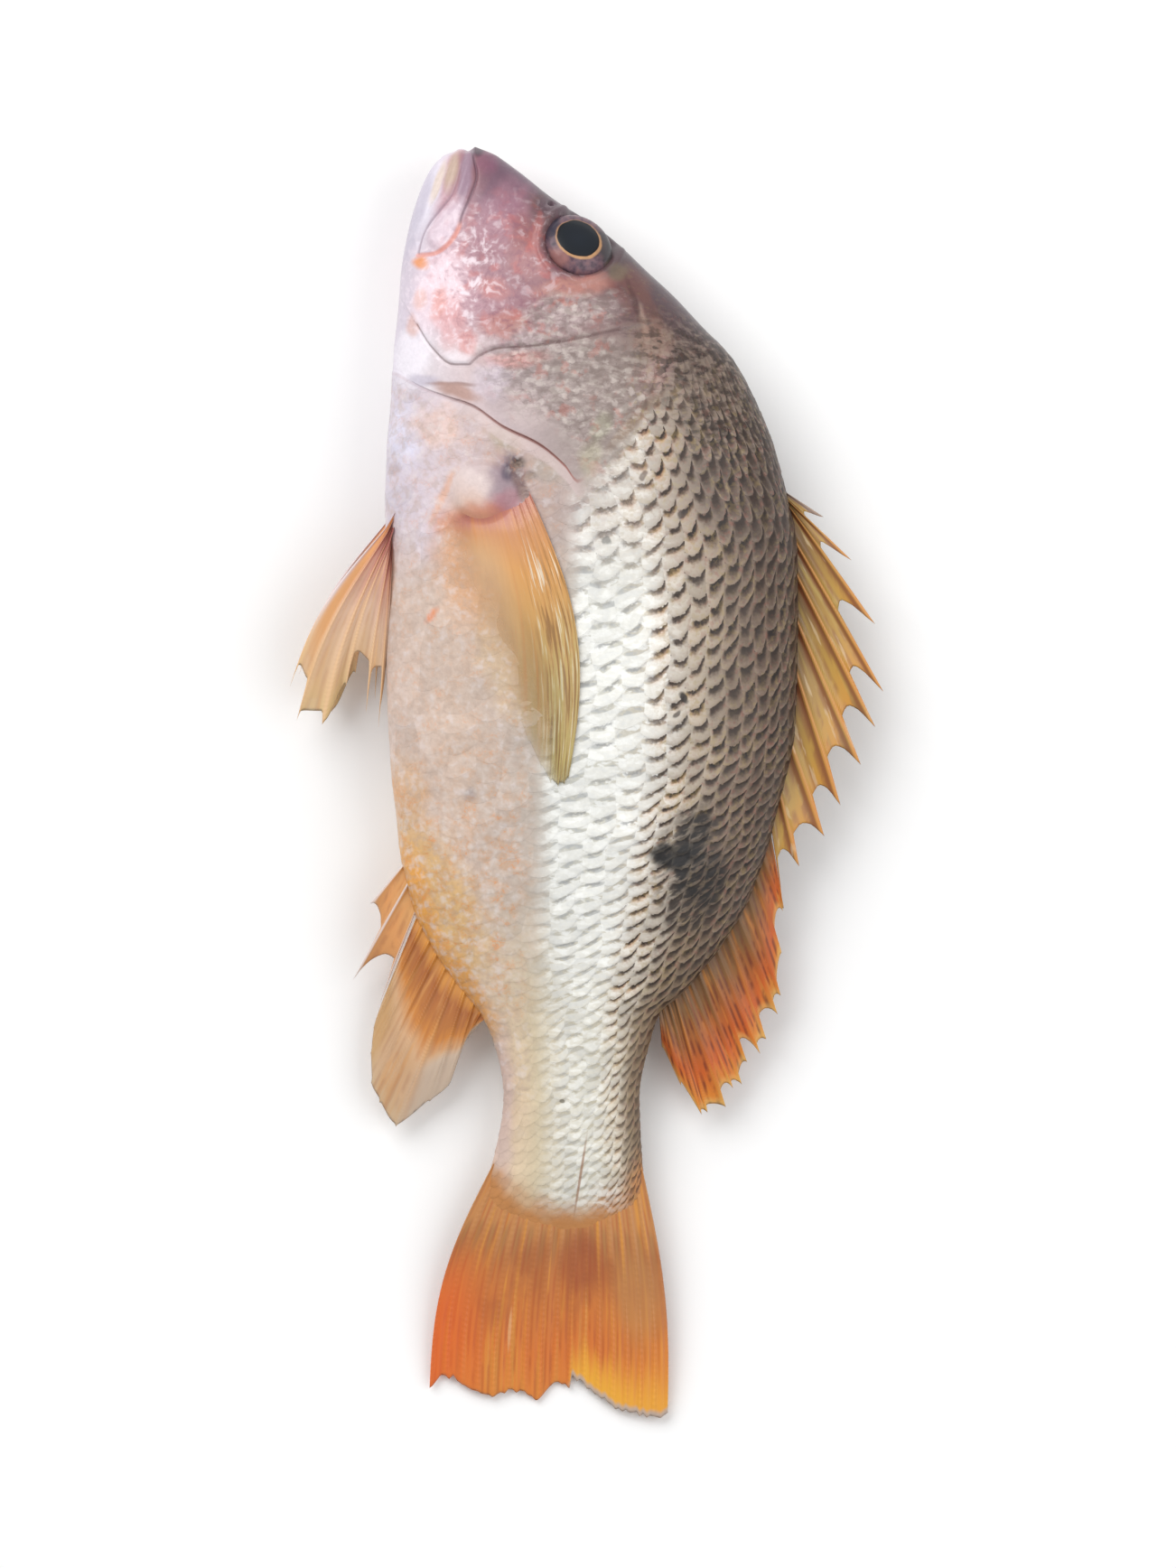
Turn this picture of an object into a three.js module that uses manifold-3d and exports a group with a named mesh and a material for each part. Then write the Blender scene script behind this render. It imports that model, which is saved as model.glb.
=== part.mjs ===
// A whole raw snapper, lying on its right flank as it would on a board: one solid, with its fins,
// eyes, mouth and gill covers.
//
// Millimetres. X runs from the belly to the back, Y from the tail to the snout, and Z up from the
// surface that the fish lies on. The origin is on that surface, under the centre of the fish.
// Places along the fish are given as a distance behind the tip of the snout.

import * as THREE from 'three';
import { LoftGeometry } from 'three/addons/geometries/LoftGeometry.js';
import { mergeVertices } from 'three/addons/utils/BufferGeometryUtils.js';
import Module from 'manifold-3d';

const wasm = await Module();
wasm.setup();

// ---------------------------------------------------------------- driving dimensions

const TOTAL_LENGTH = 300;
const SNOUT_Y = TOTAL_LENGTH / 2;

// The body at a few places: [behind the snout, belly edge X, back edge X, half thickness, height of
// the middle plane]. The thick part of the body is pressed flat where it lies, and the tail sags.
const BODY = [
  [0, -29, -24, 2, 19.4],
  [2, -33.5, -21, 5, 19.4],
  [6, -37, -15.5, 7.6, 19.4],
  [13, -40, -6.5, 10.2, 19.4],
  [29, -43.3, 14, 14.2, 19.4],
  [50, -45.4, 34.4, 18, 19.4],
  [72, -46.9, 44.5, 20.1, 19.4],
  [100, -47.2, 50, 20.6, 19.4],
  [135, -46.5, 49, 19, 18.9],
  [160, -44.5, 43.8, 16.4, 17.6],
  [178, -40.8, 37.6, 13.8, 16],
  [199, -28.4, 22.5, 10.2, 13.4],
  [210, -21.8, 15, 8.6, 12.1],
  [223, -19.4, 12.4, 7, 10.9],
  [240, -22.3, 13.2, 4.8, 9.6],
  [254, -26.5, 15, 1.4, 8.8],
];
const BODY_SECTIONS = 46;
const SECTION_POINTS = 36;
const SECTION_CROWDING = 1.45; // sections are closer together towards the snout
// How square the sections are, by the place behind the snout: below 1 a section is fuller than an
// ellipse, as the head is, and above 1 it is sharper along the back and belly.
const LENS = [[0, 0.8], [35, 0.84], [80, 1.04], [140, 1.14], [220, 1.1]];
const CREST = 0.07; // how far the widest line of a section lies above its middle, as a share

// Each eye is a flattened ball in a shallow dish. out is how far the middle of the ball, or of the
// lens that cuts the dish, lies outside the skin.
const EYE = { x: -1.9, behind: 22.2, turn: -0.42 };
const EYEBALL = { radius: 7.2, half: 3.6, out: -1.9 };
const EYE_DISH = { radius: 8.6, half: 1.4, out: 0.3 };

const GILL_COVER_LIFT = 1.3; // how far the gill cover's free edge stands off the body
const MOUTH = { width: 1, depth: 2.4 };
const CREASE = { width: 0.9, depth: 0.9 };

// ---------------------------------------------------------------- curves

// A smooth curve through [place, value] knots that never overshoots them.
function through(knots) {
  const slope = knots.slice(1).map(([x, y], i) => (y - knots[i][1]) / (x - knots[i][0]));
  const tangent = knots.map((_, i) => {
    const before = slope[Math.max(i - 1, 0)];
    const after = slope[Math.min(i, slope.length - 1)];
    return before * after > 0 ? (2 * before * after) / (before + after) : 0;
  });
  return (x) => {
    const found = knots.findIndex((knot) => knot[0] > x);
    const i = THREE.MathUtils.clamp(found < 0 ? slope.length - 1 : found - 1, 0, slope.length - 1);
    const span = knots[i + 1][0] - knots[i][0];
    const t = THREE.MathUtils.clamp((x - knots[i][0]) / span, 0, 1);
    const rest = 1 - t;
    return (
      knots[i][1] * (1 + 2 * t) * rest * rest +
      tangent[i] * span * t * rest * rest +
      knots[i + 1][1] * t * t * (3 - 2 * t) -
      tangent[i + 1] * span * t * t * rest
    );
  };
}

const column = (n) => through(BODY.map((row) => [row[0], row[n]]));
const bellyEdge = column(1);
const backEdge = column(2);
const halfThickness = column(3);
const middleHeight = column(4);
const lens = through(LENS);

const inPlan = (x, behind) => new THREE.Vector2(x, SNOUT_Y - behind);

// ---------------------------------------------------------------- solids

// Turns a closed geometry into a solid, with its faces outwards.
function solidOf(geometry) {
  const bare = new THREE.BufferGeometry();
  bare.setAttribute('position', geometry.getAttribute('position'));
  bare.setIndex(geometry.getIndex());
  const merged = mergeVertices(bare, 1e-4);
  const vertProperties = merged.getAttribute('position').array;
  const triVerts = new Uint32Array(merged.getIndex().array);
  const made = new wasm.Manifold(new wasm.Mesh({ numProp: 3, vertProperties, triVerts }));
  if (made.volume() >= 0) return made;
  return new wasm.Manifold(new wasm.Mesh({ numProp: 3, vertProperties, triVerts: triVerts.reverse() }));
}

function geometryOf(solid) {
  const mesh = solid.getMesh();
  const geometry = new THREE.BufferGeometry();
  geometry.setAttribute('position', new THREE.BufferAttribute(mesh.vertProperties, 3));
  geometry.setIndex(new THREE.BufferAttribute(mesh.triVerts, 1));
  geometry.computeVertexNormals();
  return geometry;
}

// A plan outline pulled up through the whole thickness of the fish.
function prismOf(outline) {
  const height = 3 * BODY.reduce((most, row) => Math.max(most, row[3]), 0);
  const geometry = new THREE.ExtrudeGeometry(new THREE.Shape(outline), {
    depth: height,
    bevelEnabled: false,
  });
  return solidOf(geometry.translate(0, 0, -height / 6));
}

// ---------------------------------------------------------------- body

// A point of the skin: angle 0 is the back, a half turn is the belly, and between them lies the
// left flank, which faces up. lift moves it outwards.
function skinPoint(behind, angle, lift = 0) {
  const middle = (backEdge(behind) + bellyEdge(behind)) / 2;
  const halfWidth = Math.max((backEdge(behind) - bellyEdge(behind)) / 2 + lift, 1);
  const thickness = Math.max(halfThickness(behind) + lift, 1);
  const up = Math.sin(angle);
  const x = middle + halfWidth * (Math.cos(angle) + CREST * up * up);
  const rise = thickness * Math.sign(up) * Math.abs(up) ** lens(behind);
  return new THREE.Vector3(x, SNOUT_Y - behind, Math.max(middleHeight(behind) + rise, 0));
}

// The body, or a copy of it whose skin is moved outwards by lift(behind, angle).
function bodySolid(lift = () => 0) {
  const first = BODY[0][0];
  const last = BODY[BODY.length - 1][0];
  const sections = [];
  for (let i = 0; i <= BODY_SECTIONS; i++) {
    const behind = first + (last - first) * (i / BODY_SECTIONS) ** SECTION_CROWDING;
    const section = [];
    for (let j = 0; j < SECTION_POINTS; j++) {
      const angle = (j / SECTION_POINTS) * 2 * Math.PI;
      section.push(skinPoint(behind, angle, lift(behind, angle)));
    }
    sections.push(section);
  }
  return solidOf(new LoftGeometry(sections, { capStart: true, capEnd: true }));
}

// The height of the upper (side 1) or lower (side -1) flank over a place in plan.
function flankHeight(x, behind, side) {
  const middle = (backEdge(behind) + bellyEdge(behind)) / 2;
  const half = (backEdge(behind) - bellyEdge(behind)) / 2;
  const across = THREE.MathUtils.clamp((x - middle) / half, -0.99, 0.99);
  const cosine = (1 - Math.sqrt(1 - 4 * CREST * (across - CREST))) / (2 * CREST);
  const sine = Math.sqrt(Math.max(1 - cosine * cosine, 0));
  return Math.max(middleHeight(behind) + side * halfThickness(behind) * sine ** lens(behind), 0);
}

// ---------------------------------------------------------------- head

// The gill cover is the head's own skin, lifted more and more towards its free rear edge.
function gillCover() {
  const rise = through([[44, 0], [62, 1], [90, 1]]);
  const lifted = bodySolid((behind, angle) => GILL_COVER_LIFT * rise(behind) * Math.sin(angle) ** 2);
  const rearEdge = new THREE.SplineCurve([
    inPlan(-50, 51),
    inPlan(-44.8, 53),
    inPlan(-24.6, 61.3),
    inPlan(-8.3, 70.9),
    inPlan(-2.2, 79),
    inPlan(8.7, 67.3),
    inPlan(20, 56),
    inPlan(33, 46),
  ]);
  return lifted.intersect(prismOf([...rearEdge.getPoints(24), inPlan(33, 40), inPlan(-50, 40)]));
}

// A crease or slit along a plan curve, of the same depth all the way, on both flanks at once.
function creaseAlong(points, { width, depth }) {
  const curve = new THREE.SplineCurve(points.map(([x, behind]) => inPlan(x, behind)));
  const steps = 2 * points.length;
  const sides = [1, -1].map((side) =>
    Array.from({ length: steps + 1 }, (_, i) => {
      const along = curve.getTangent(i / steps);
      const taper = Math.sin(Math.PI * (0.08 + 0.84 * (i / steps)));
      const offset = new THREE.Vector2(-along.y, along.x).multiplyScalar((side * taper * width) / 2);
      return curve.getPoint(i / steps).add(offset);
    }),
  );
  const ribbon = prismOf([...sides[0], ...sides[1].reverse()]);
  return ribbon.subtract(bodySolid(() => -depth));
}

const MOUTH_LINE = [[-28.5, -1], [-31.6, 6.5], [-35, 13.6], [-38.6, 23.8]];
const UPPER_JAW_LINE = [[-24.7, 3.3], [-27.4, 11.5], [-30.2, 18.7], [-34.8, 24], [-39.4, 25.4]];
const CHEEK_LINE = [[-39, 42.4], [-34.5, 49], [-29.5, 51.6], [-20, 47.7], [-5.7, 46.3], [7.2, 43.7]];

// The eyeball, or the lens that cuts its dish, square to the skin on one side of the head.
function eyeSolid(side, { radius, half, out }) {
  const height = (x, behind) => flankHeight(x, behind, side);
  const slopeX = (height(EYE.x + 1, EYE.behind) - height(EYE.x - 1, EYE.behind)) / 2;
  const slopeY = (height(EYE.x, EYE.behind - 1) - height(EYE.x, EYE.behind + 1)) / 2;
  const normal = new THREE.Vector3(-slopeX, -slopeY, 1).normalize();
  const place = new THREE.Vector3(EYE.x, SNOUT_Y - EYE.behind, height(EYE.x, EYE.behind));
  place.addScaledVector(normal, side * out);
  const geometry = new THREE.SphereGeometry(1, 18, 10).rotateX(Math.PI / 2);
  geometry.scale(1.06 * radius, 0.94 * radius, half).rotateZ(EYE.turn);
  geometry.applyQuaternion(new THREE.Quaternion().setFromUnitVectors(new THREE.Vector3(0, 0, 1), normal));
  return solidOf(geometry.translate(place.x, place.y, place.z));
}

// ---------------------------------------------------------------- fins

// A fin is a fan of rays with thin skin between them. root(t) and tip(t) give where a ray starts
// and ends, from t = 0 at the fin's front ray to 1 at its last. The skin stops short of the tips
// by the share notch(t) of the ray's length. drape moves each point of the middle surface. bed is
// how much deeper the fin goes on its upper and lower face, where it lies on the body. The first
// and last rows have no thickness, and so close the fin.
function finSolid({ rays, root, tip, notch, thick, rows = 4, bed = [0, 0], drape = (point) => point }) {
  const columns = 2 * rays - 1;
  const sections = [];
  for (let row = -1; row <= rows + 1; row++) {
    const v = THREE.MathUtils.clamp(row / rows, 0, 1);
    const closed = row < 0 || row > rows;
    const upper = [];
    const lower = [];
    for (let c = 0; c < columns; c++) {
      const t = c / (columns - 1);
      const isRay = c % 2 === 0;
      const reach = isRay ? v : v * (1 - notch(t));
      const middle = drape(root(t).lerp(tip(t), reach), reach, t);
      const half = ((isRay ? 1 : 0.45) * THREE.MathUtils.lerp(thick[0], thick[1], v)) / 2;
      const [above, below] = bed.map((extra) => (closed ? 0 : half + extra));
      upper.push(middle.clone().setZ(middle.z + above));
      lower.unshift(middle.clone().setZ(Math.max(middle.z - below, 0)));
    }
    sections.push([...upper, ...lower]);
  }
  return solidOf(new LoftGeometry(sections));
}

// Rays that leave an edge of the body at a given lean and length, started a little inside it.
// way is 1 along the back and -1 along the belly, and lean is the angle towards the tail.
function edgeFin({ way, from, to, lengths, leans, sink, sag, ...rest }) {
  const edge = way > 0 ? backEdge : bellyEdge;
  const end = (t, distance) => {
    const behind = THREE.MathUtils.lerp(from, to, t);
    const lean = THREE.MathUtils.degToRad(leans(t));
    const x = edge(behind) + way * Math.cos(lean) * distance;
    const y = SNOUT_Y - behind - Math.sin(lean) * distance;
    return new THREE.Vector3(x, y, middleHeight(behind));
  };
  return finSolid({
    root: (t) => end(t, -sink),
    tip: (t) => end(t, lengths(t)),
    drape: (point, v) => point.setZ(Math.max(point.z - sag * v * v, 1)),
    ...rest,
  });
}

const dorsalSpines = () =>
  edgeFin({
    way: 1,
    from: 81.5,
    to: 163,
    rays: 10,
    lengths: through([[0, 10], [0.11, 18], [0.22, 28], [0.38, 33], [0.66, 26.5], [1, 12]]),
    leans: through([[0, 35], [0.22, 47], [0.55, 60], [1, 76]]),
    notch: () => 0.27,
    thick: [2.4, 1.1],
    sink: 5,
    sag: 3,
  });

const dorsalRays = () =>
  edgeFin({
    way: 1,
    from: 165,
    to: 205,
    rays: 13,
    lengths: through([[0, 13], [0.35, 29.5], [0.63, 31], [0.85, 29.5], [1, 25]]),
    leans: through([[0, 70], [0.35, 79], [0.63, 81.5], [0.85, 79], [1, 66]]),
    notch: () => 0.09,
    thick: [2.2, 0.8],
    sink: 5,
    sag: 4,
  });

const analSpines = () =>
  edgeFin({
    way: -1,
    from: 170,
    to: 178,
    rays: 3,
    lengths: through([[0, 10.5], [0.5, 26], [1, 24.5]]),
    leans: through([[0, 45], [0.5, 60], [1, 72]]),
    notch: () => 0.55,
    thick: [2.4, 1.2],
    sink: 4,
    sag: 3,
  });

const analRays = () =>
  edgeFin({
    way: -1,
    from: 179,
    to: 204,
    rays: 8,
    lengths: through([[0, 34], [0.3, 43], [0.55, 37], [0.8, 21], [1, 7]]),
    leans: through([[0, 70], [0.3, 77], [0.8, 78], [1, 60]]),
    notch: () => 0.04,
    thick: [2.2, 0.8],
    sink: 5,
    sag: 5,
  });

// The tail fin, from inside the end of the body to its ragged, slightly forked rear edge.
function tailFin() {
  const rootBehind = 236;
  const rearX = through([[0, -37], [0.5, -6.5], [1, 19]]);
  const rearBehind = through([[0, 292.5], [0.12, 291], [0.3, 296], [0.5, 291.5], [0.75, 297.5], [1, 300]]);
  const bow = through([[0, -2.6], [0.5, 0], [1, 1.2]]);
  const height = through([[0, 9.8], [0.4, 7.4], [1, 1.6]]);
  return finSolid({
    rays: 17,
    rows: 5,
    root: (t) => new THREE.Vector3(THREE.MathUtils.lerp(-20, 11, t), SNOUT_Y - rootBehind, 0),
    tip: (t) => new THREE.Vector3(rearX(t), SNOUT_Y - rearBehind(t), 0),
    notch: (t) => (t < 0.48 ? 0.05 : 0.015),
    thick: [2.6, 0.8],
    drape: (point, v, t) => {
      point.x += bow(t) * Math.sin(Math.PI * v);
      return point.setZ(height(v) + 0.5 * Math.sin(9 * t) * v);
    },
  });
}

// A pelvic fin, one of the pair under the throat. side is 1 for the upper one.
function pelvicFin(side) {
  const tipX = through([[0, -70], [0.2, -68], [0.4, -62], [0.6, -57], [0.8, -52.2], [1, -48.8]]);
  const tipBehind = through([[0, 127], [0.2, 135], [0.4, 135.5], [0.6, 127], [0.8, 133], [1, 136.5]]);
  const height = side > 0 ? through([[0, 25], [0.4, 24], [1, 15]]) : through([[0, 15], [0.4, 12], [1, 4]]);
  return finSolid({
    rays: 6,
    root: (t) => new THREE.Vector3(-43.5, SNOUT_Y - THREE.MathUtils.lerp(86, 97, t), 0),
    tip: (t) => new THREE.Vector3(tipX(t), SNOUT_Y - tipBehind(t), 0),
    notch: (t) => (t < 0.5 ? 0.05 : 0.2),
    thick: [2.6, 0.9],
    drape: (point, v) => point.setZ(height(v)),
  });
}

// A pectoral fin with the fleshy lobe that it springs from, lying back along one flank.
function pectoralFin(side) {
  const tipX = through([[0, -1.8], [0.2, -2.2], [0.42, -5.9], [0.6, -13], [0.8, -23], [1, -32]]);
  const tipBehind = through([[0, 126], [0.2, 140], [0.42, 150], [0.6, 141], [0.8, 120], [1, 94]]);
  const proud = through([[0, -0.4], [0.15, 1], [0.7, 0.9], [1, 0.5]]);
  const blade = finSolid({
    rays: 10,
    rows: 5,
    root: (t) => new THREE.Vector3(THREE.MathUtils.lerp(-17, -31, t), SNOUT_Y - 77 - 8 * t, 0),
    tip: (t) => new THREE.Vector3(tipX(t), SNOUT_Y - tipBehind(t), 0),
    notch: () => 0.03,
    thick: [2.2, 0.9],
    bed: side > 0 ? [0, 3] : [3, 0],
    drape: (point, v, t) => {
      point.x += 5 * (1 - t) * Math.sin(Math.PI * v);
      const skin = flankHeight(point.x, SNOUT_Y - point.y, side);
      return point.setZ(Math.max(skin + side * proud(v), 0));
    },
  });
  const lobe = { x: -24, behind: 80.5, length: 9.5, width: 7.5, half: 2.4, turn: -0.4 };
  const height = Math.max(flankHeight(lobe.x, lobe.behind, side) - side * 0.3, lobe.half);
  const muscle = new THREE.SphereGeometry(1, 12, 8).rotateX(Math.PI / 2);
  muscle.scale(lobe.length, lobe.width, lobe.half).rotateZ(lobe.turn);
  return blade.add(solidOf(muscle.translate(lobe.x, SNOUT_Y - lobe.behind, height)));
}

// ---------------------------------------------------------------- the fish

let fish = bodySolid().add(gillCover());
fish = fish.subtract(creaseAlong(MOUTH_LINE, MOUTH));
fish = fish.subtract(creaseAlong(UPPER_JAW_LINE, CREASE));
fish = fish.subtract(creaseAlong(CHEEK_LINE, CREASE));
for (const side of [1, -1]) {
  fish = fish.subtract(eyeSolid(side, EYE_DISH)).add(eyeSolid(side, EYEBALL));
  fish = fish.add(pectoralFin(side)).add(pelvicFin(side));
}
for (const fin of [dorsalSpines(), dorsalRays(), analSpines(), analRays(), tailFin()]) {
  fish = fish.add(fin);
}

const skin = new THREE.MeshStandardMaterial({ color: 0xd2bfae, roughness: 0.35, metalness: 0 });
const mesh = new THREE.Mesh(geometryOf(fish), skin);
mesh.name = 'fish';

const group = new THREE.Group();
group.add(mesh);
export default group;
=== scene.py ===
"""A whole raw fish of the snapper kind, lying on its right flank: the finished looks of the part."""
import math

import bmesh
import bpy
import numpy as np
from mathutils import Matrix, Vector


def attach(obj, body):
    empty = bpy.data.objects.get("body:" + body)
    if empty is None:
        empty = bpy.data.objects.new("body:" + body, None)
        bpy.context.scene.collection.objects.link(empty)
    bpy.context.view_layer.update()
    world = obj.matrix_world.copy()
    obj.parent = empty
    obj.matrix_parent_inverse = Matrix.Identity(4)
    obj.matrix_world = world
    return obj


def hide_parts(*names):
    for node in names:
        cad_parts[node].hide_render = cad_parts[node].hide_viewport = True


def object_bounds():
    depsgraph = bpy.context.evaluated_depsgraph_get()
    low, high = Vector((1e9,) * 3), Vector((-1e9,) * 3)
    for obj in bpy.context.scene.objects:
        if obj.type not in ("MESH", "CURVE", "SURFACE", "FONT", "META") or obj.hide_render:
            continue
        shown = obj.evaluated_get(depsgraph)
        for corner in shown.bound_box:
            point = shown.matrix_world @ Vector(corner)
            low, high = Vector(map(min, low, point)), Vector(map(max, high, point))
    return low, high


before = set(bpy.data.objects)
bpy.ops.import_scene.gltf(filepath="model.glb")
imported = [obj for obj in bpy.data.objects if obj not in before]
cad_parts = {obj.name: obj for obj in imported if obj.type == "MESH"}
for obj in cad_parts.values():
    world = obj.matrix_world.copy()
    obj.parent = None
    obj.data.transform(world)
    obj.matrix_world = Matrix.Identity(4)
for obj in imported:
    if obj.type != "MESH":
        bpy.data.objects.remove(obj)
model_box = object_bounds()


# ------------------------------------------------------------------------------------------- skin
# The head and the trunk: firm flesh under one wet skin, bare on the snout and scaled behind the
# gills. The fish lies on its right flank, which is pressed flat. The gill covers grow on the head,
# and the skin of the trunk is tucked in under their free edges.
MM = 0.001
SNOUT = model_box[1].y / MM  # where the snout ends; places along the fish are mm behind it
REST = 0.6  # height of the flattened flank, on its own pressed fin
CREST = 0.07  # how far the widest line of the flank lies towards the back
SNOUT_ROUND = 2.2  # length over which the tip of the snout is rounded
WELD = 1e-6  # points of a net nearer than this, in metres, become one
# behind the snout, edge of the belly, edge of the back, half thickness, height of the middle
BODY = [
    (0, -29.0, -24.0, 2.0, 19.4), (2, -33.5, -21.0, 5.0, 19.4), (6, -37.0, -15.5, 7.6, 19.4),
    (13, -40.0, -6.5, 10.2, 19.4), (18.5, -41.6, 2.3, 11.7, 19.4), (29, -43.3, 14.0, 14.2, 19.4),
    (40, -44.3, 25.3, 16.5, 19.4), (50, -45.4, 34.4, 18.0, 19.4), (61, -46.0, 40.3, 19.2, 19.4),
    (72, -46.9, 44.5, 20.1, 19.4), (100, -47.3, 49.8, 20.6, 19.4), (135, -46.5, 49.0, 19.0, 18.9),
    (160, -44.5, 43.8, 16.4, 17.6), (178, -40.8, 37.6, 13.8, 16.0), (188, -36.3, 31.4, 12.0, 14.8),
    (199, -28.4, 22.5, 10.2, 13.4), (204, -24.4, 17.0, 9.4, 12.8), (210, -21.8, 15.0, 8.6, 12.1),
    (223, -19.4, 12.4, 7.0, 10.9), (240, -22.3, 13.2, 4.7, 9.5), (250, -25.2, 14.2, 2.0, 8.1),
    (257, -26.8, 14.6, 0.7, 7.2),
]
# behind the snout, and how sharp the lens of the section is there
LENS = [(0, 0.80), (35, 0.84), (80, 1.04), (140, 1.14), (220, 1.10)]


def through(knots):
    """A smooth curve through knots of place and value that never swings past them."""
    x, y = np.array(knots, float).T
    slope = np.diff(y) / np.diff(x)
    before = np.concatenate([slope[:1], slope])
    after = np.concatenate([slope, slope[-1:]])
    product = before * after
    total = np.where(product > 0, before + after, 1)
    tangent = np.where(product > 0, 2 * product, 0) / total

    def curve(at):
        at = np.asarray(at, float)
        i = np.clip(np.searchsorted(x, at, side="right") - 1, 0, len(slope) - 1)
        span = x[i + 1] - x[i]
        t = np.clip((at - x[i]) / span, 0, 1)
        rest = 1 - t
        ends = y[i] * (1 + 2 * t) * rest * rest + y[i + 1] * t * t * (3 - 2 * t)
        return ends + span * t * rest * (tangent[i] * rest - tangent[i + 1] * t)

    return curve


belly_edge, back_edge, half_thickness, middle_height = (
    through([(row[0], row[k]) for row in BODY]) for k in (1, 2, 3, 4)
)
lens = through(LENS)


def rise(value, low, high):
    """0 below low, 1 above high, and a smooth rise between."""
    t = np.clip((value - low) / (high - low), 0, 1)
    return t * t * (3 - 2 * t)


def hump(distance, width):
    """1 on a line, and less to both sides of it over a width."""
    return np.exp(-((distance / width) ** 2))


def above(height, floor, soft):
    """A height that comes down on a floor softly."""
    return floor + (height - floor + np.sqrt((height - floor) ** 2 + soft**2)) / 2


def across(turn):
    """The place across the body at a turn round it: 1 at the back, -1 at the belly."""
    return np.cos(turn) + CREST * np.sin(turn) ** 2


def flesh(behind, turn):
    """Places on the plain body, turned from the back over the left flank and round below."""
    behind, turn = np.broadcast_arrays(behind, turn)
    belly, back = belly_edge(behind), back_edge(behind)
    near = np.clip(behind / SNOUT_ROUND, 0, 1)
    closing = np.sqrt(near * (2 - near))
    side = np.sin(turn)
    x = (back + belly) / 2 + (back - belly) / 2 * closing * across(turn)
    lift = half_thickness(behind) * closing * np.sign(side) * np.abs(side) ** lens(behind)
    return np.stack([x, SNOUT - behind, middle_height(behind) + lift], -1)


def flank_turn(x, behind):
    """The turn on the left flank at a place seen from above."""
    belly, back = belly_edge(behind), back_edge(behind)
    place = np.clip((2 * x - back - belly) / (back - belly), -1, 1)
    cosine = (1 - np.sqrt(1 - 4 * CREST * (place - CREST))) / (2 * CREST)
    return np.arccos(np.clip(cosine, -1, 1))


def columns_round(upper, lower):
    """Turns of the columns round the body, and how far each is from back to belly, 0 to 1."""
    wide, thick = 48, 20  # half sizes of the oval round which they are spread evenly
    fine = np.linspace(0, np.pi, 721)
    steps = np.hypot(np.diff(wide * np.cos(fine)), np.diff(thick * np.sin(fine)))
    share = np.concatenate([[0], np.cumsum(steps)]) / steps.sum()
    over = np.arange(upper) / upper
    under = np.arange(lower + 1) / lower
    turn = np.concatenate([np.interp(over, share, fine), np.pi + np.interp(under, share, fine)])
    return turn, np.concatenate([over, 1 - under])


def outward(net):
    """Unit normals of a net of places that goes round a body."""
    round_it = np.concatenate([net[:, -2:-1], net, net[:, 1:2]], 1)
    cross = np.cross(np.gradient(net, axis=0), round_it[:, 2:] - round_it[:, :-2])
    middle = net[:, :-1].mean(1, keepdims=True)
    cross *= np.sign(np.sum(cross * (net - middle), -1, keepdims=True).sum(1, keepdims=True))
    return cross / np.maximum(np.linalg.norm(cross, axis=-1, keepdims=True), 1e-9)


def grown(bm, mesh):
    """A smooth piece of the fish, in the place of its solid, from a bmesh and the mesh it fills."""
    bmesh.ops.recalc_face_normals(bm, faces=bm.faces)
    for face in bm.faces:
        face.smooth = True
    bm.to_mesh(mesh)
    bm.free()
    piece = bpy.data.objects.new(mesh.name, mesh)
    bpy.context.scene.collection.objects.link(piece)
    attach(piece, "root")
    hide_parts("fish")
    return piece


def sleeve(name, net, marks):
    """A closed skin from a net of places in mm, whose last column meets its first and whose ends
    come together, with named values at its points."""
    rows, columns = net.shape[0] - 1, net.shape[1] - 1
    bm = bmesh.new()
    bmesh.ops.create_grid(bm, x_segments=rows, y_segments=columns, size=0.5)
    mesh = bpy.data.meshes.new(name)
    bm.to_mesh(mesh)
    flat = np.empty(3 * len(mesh.vertices))
    mesh.vertices.foreach_get("co", flat)
    at = np.rint((flat.reshape(-1, 3)[:, :2] + 0.5) * (rows, columns)).astype(int)
    row, column = at.T
    mesh.vertices.foreach_set("co", (net[row, column] * MM).ravel())
    for mark, values in marks.items():
        value = np.stack(np.broadcast_arrays(*values, net[..., 0])[:3], -1)
        layer = mesh.attributes.new(mark, "FLOAT_VECTOR", "POINT")
        layer.data.foreach_set("vector", value[row, column].astype(np.float32).ravel())
    bm.clear()
    bm.from_mesh(mesh)
    bmesh.ops.remove_doubles(bm, verts=bm.verts, dist=WELD)
    return grown(bm, mesh)


def beside(course, x, behind):
    """How far places are from a course of points, on which side, and how far along it, 0 to 1."""
    points = np.array(course, float)
    steps = np.concatenate([[0], np.cumsum(np.hypot(*np.diff(points, axis=0).T))])
    fine = np.linspace(0, steps[-1], 36)
    line = np.stack([through(np.column_stack([steps, points[:, k]]))(fine) for k in (0, 1)], 1)
    nearest = np.full(x.shape, np.inf)
    side, along = np.zeros(x.shape), np.zeros(x.shape)
    for k, (start, end) in enumerate(zip(line, line[1:])):
        way = end - start
        size = way @ way
        t = np.clip(((x - start[0]) * way[0] + (behind - start[1]) * way[1]) / size, 0, 1)
        dx, dy = x - start[0] - t * way[0], behind - start[1] - t * way[1]
        distance = np.hypot(dx, dy)
        closer = distance < nearest
        nearest = np.where(closer, distance, nearest)
        side = np.where(closer, np.sign(way[0] * dy - way[1] * dx), side)
        along = np.where(closer, (k + t) / (len(line) - 1), along)
    return nearest, side, along


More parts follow.
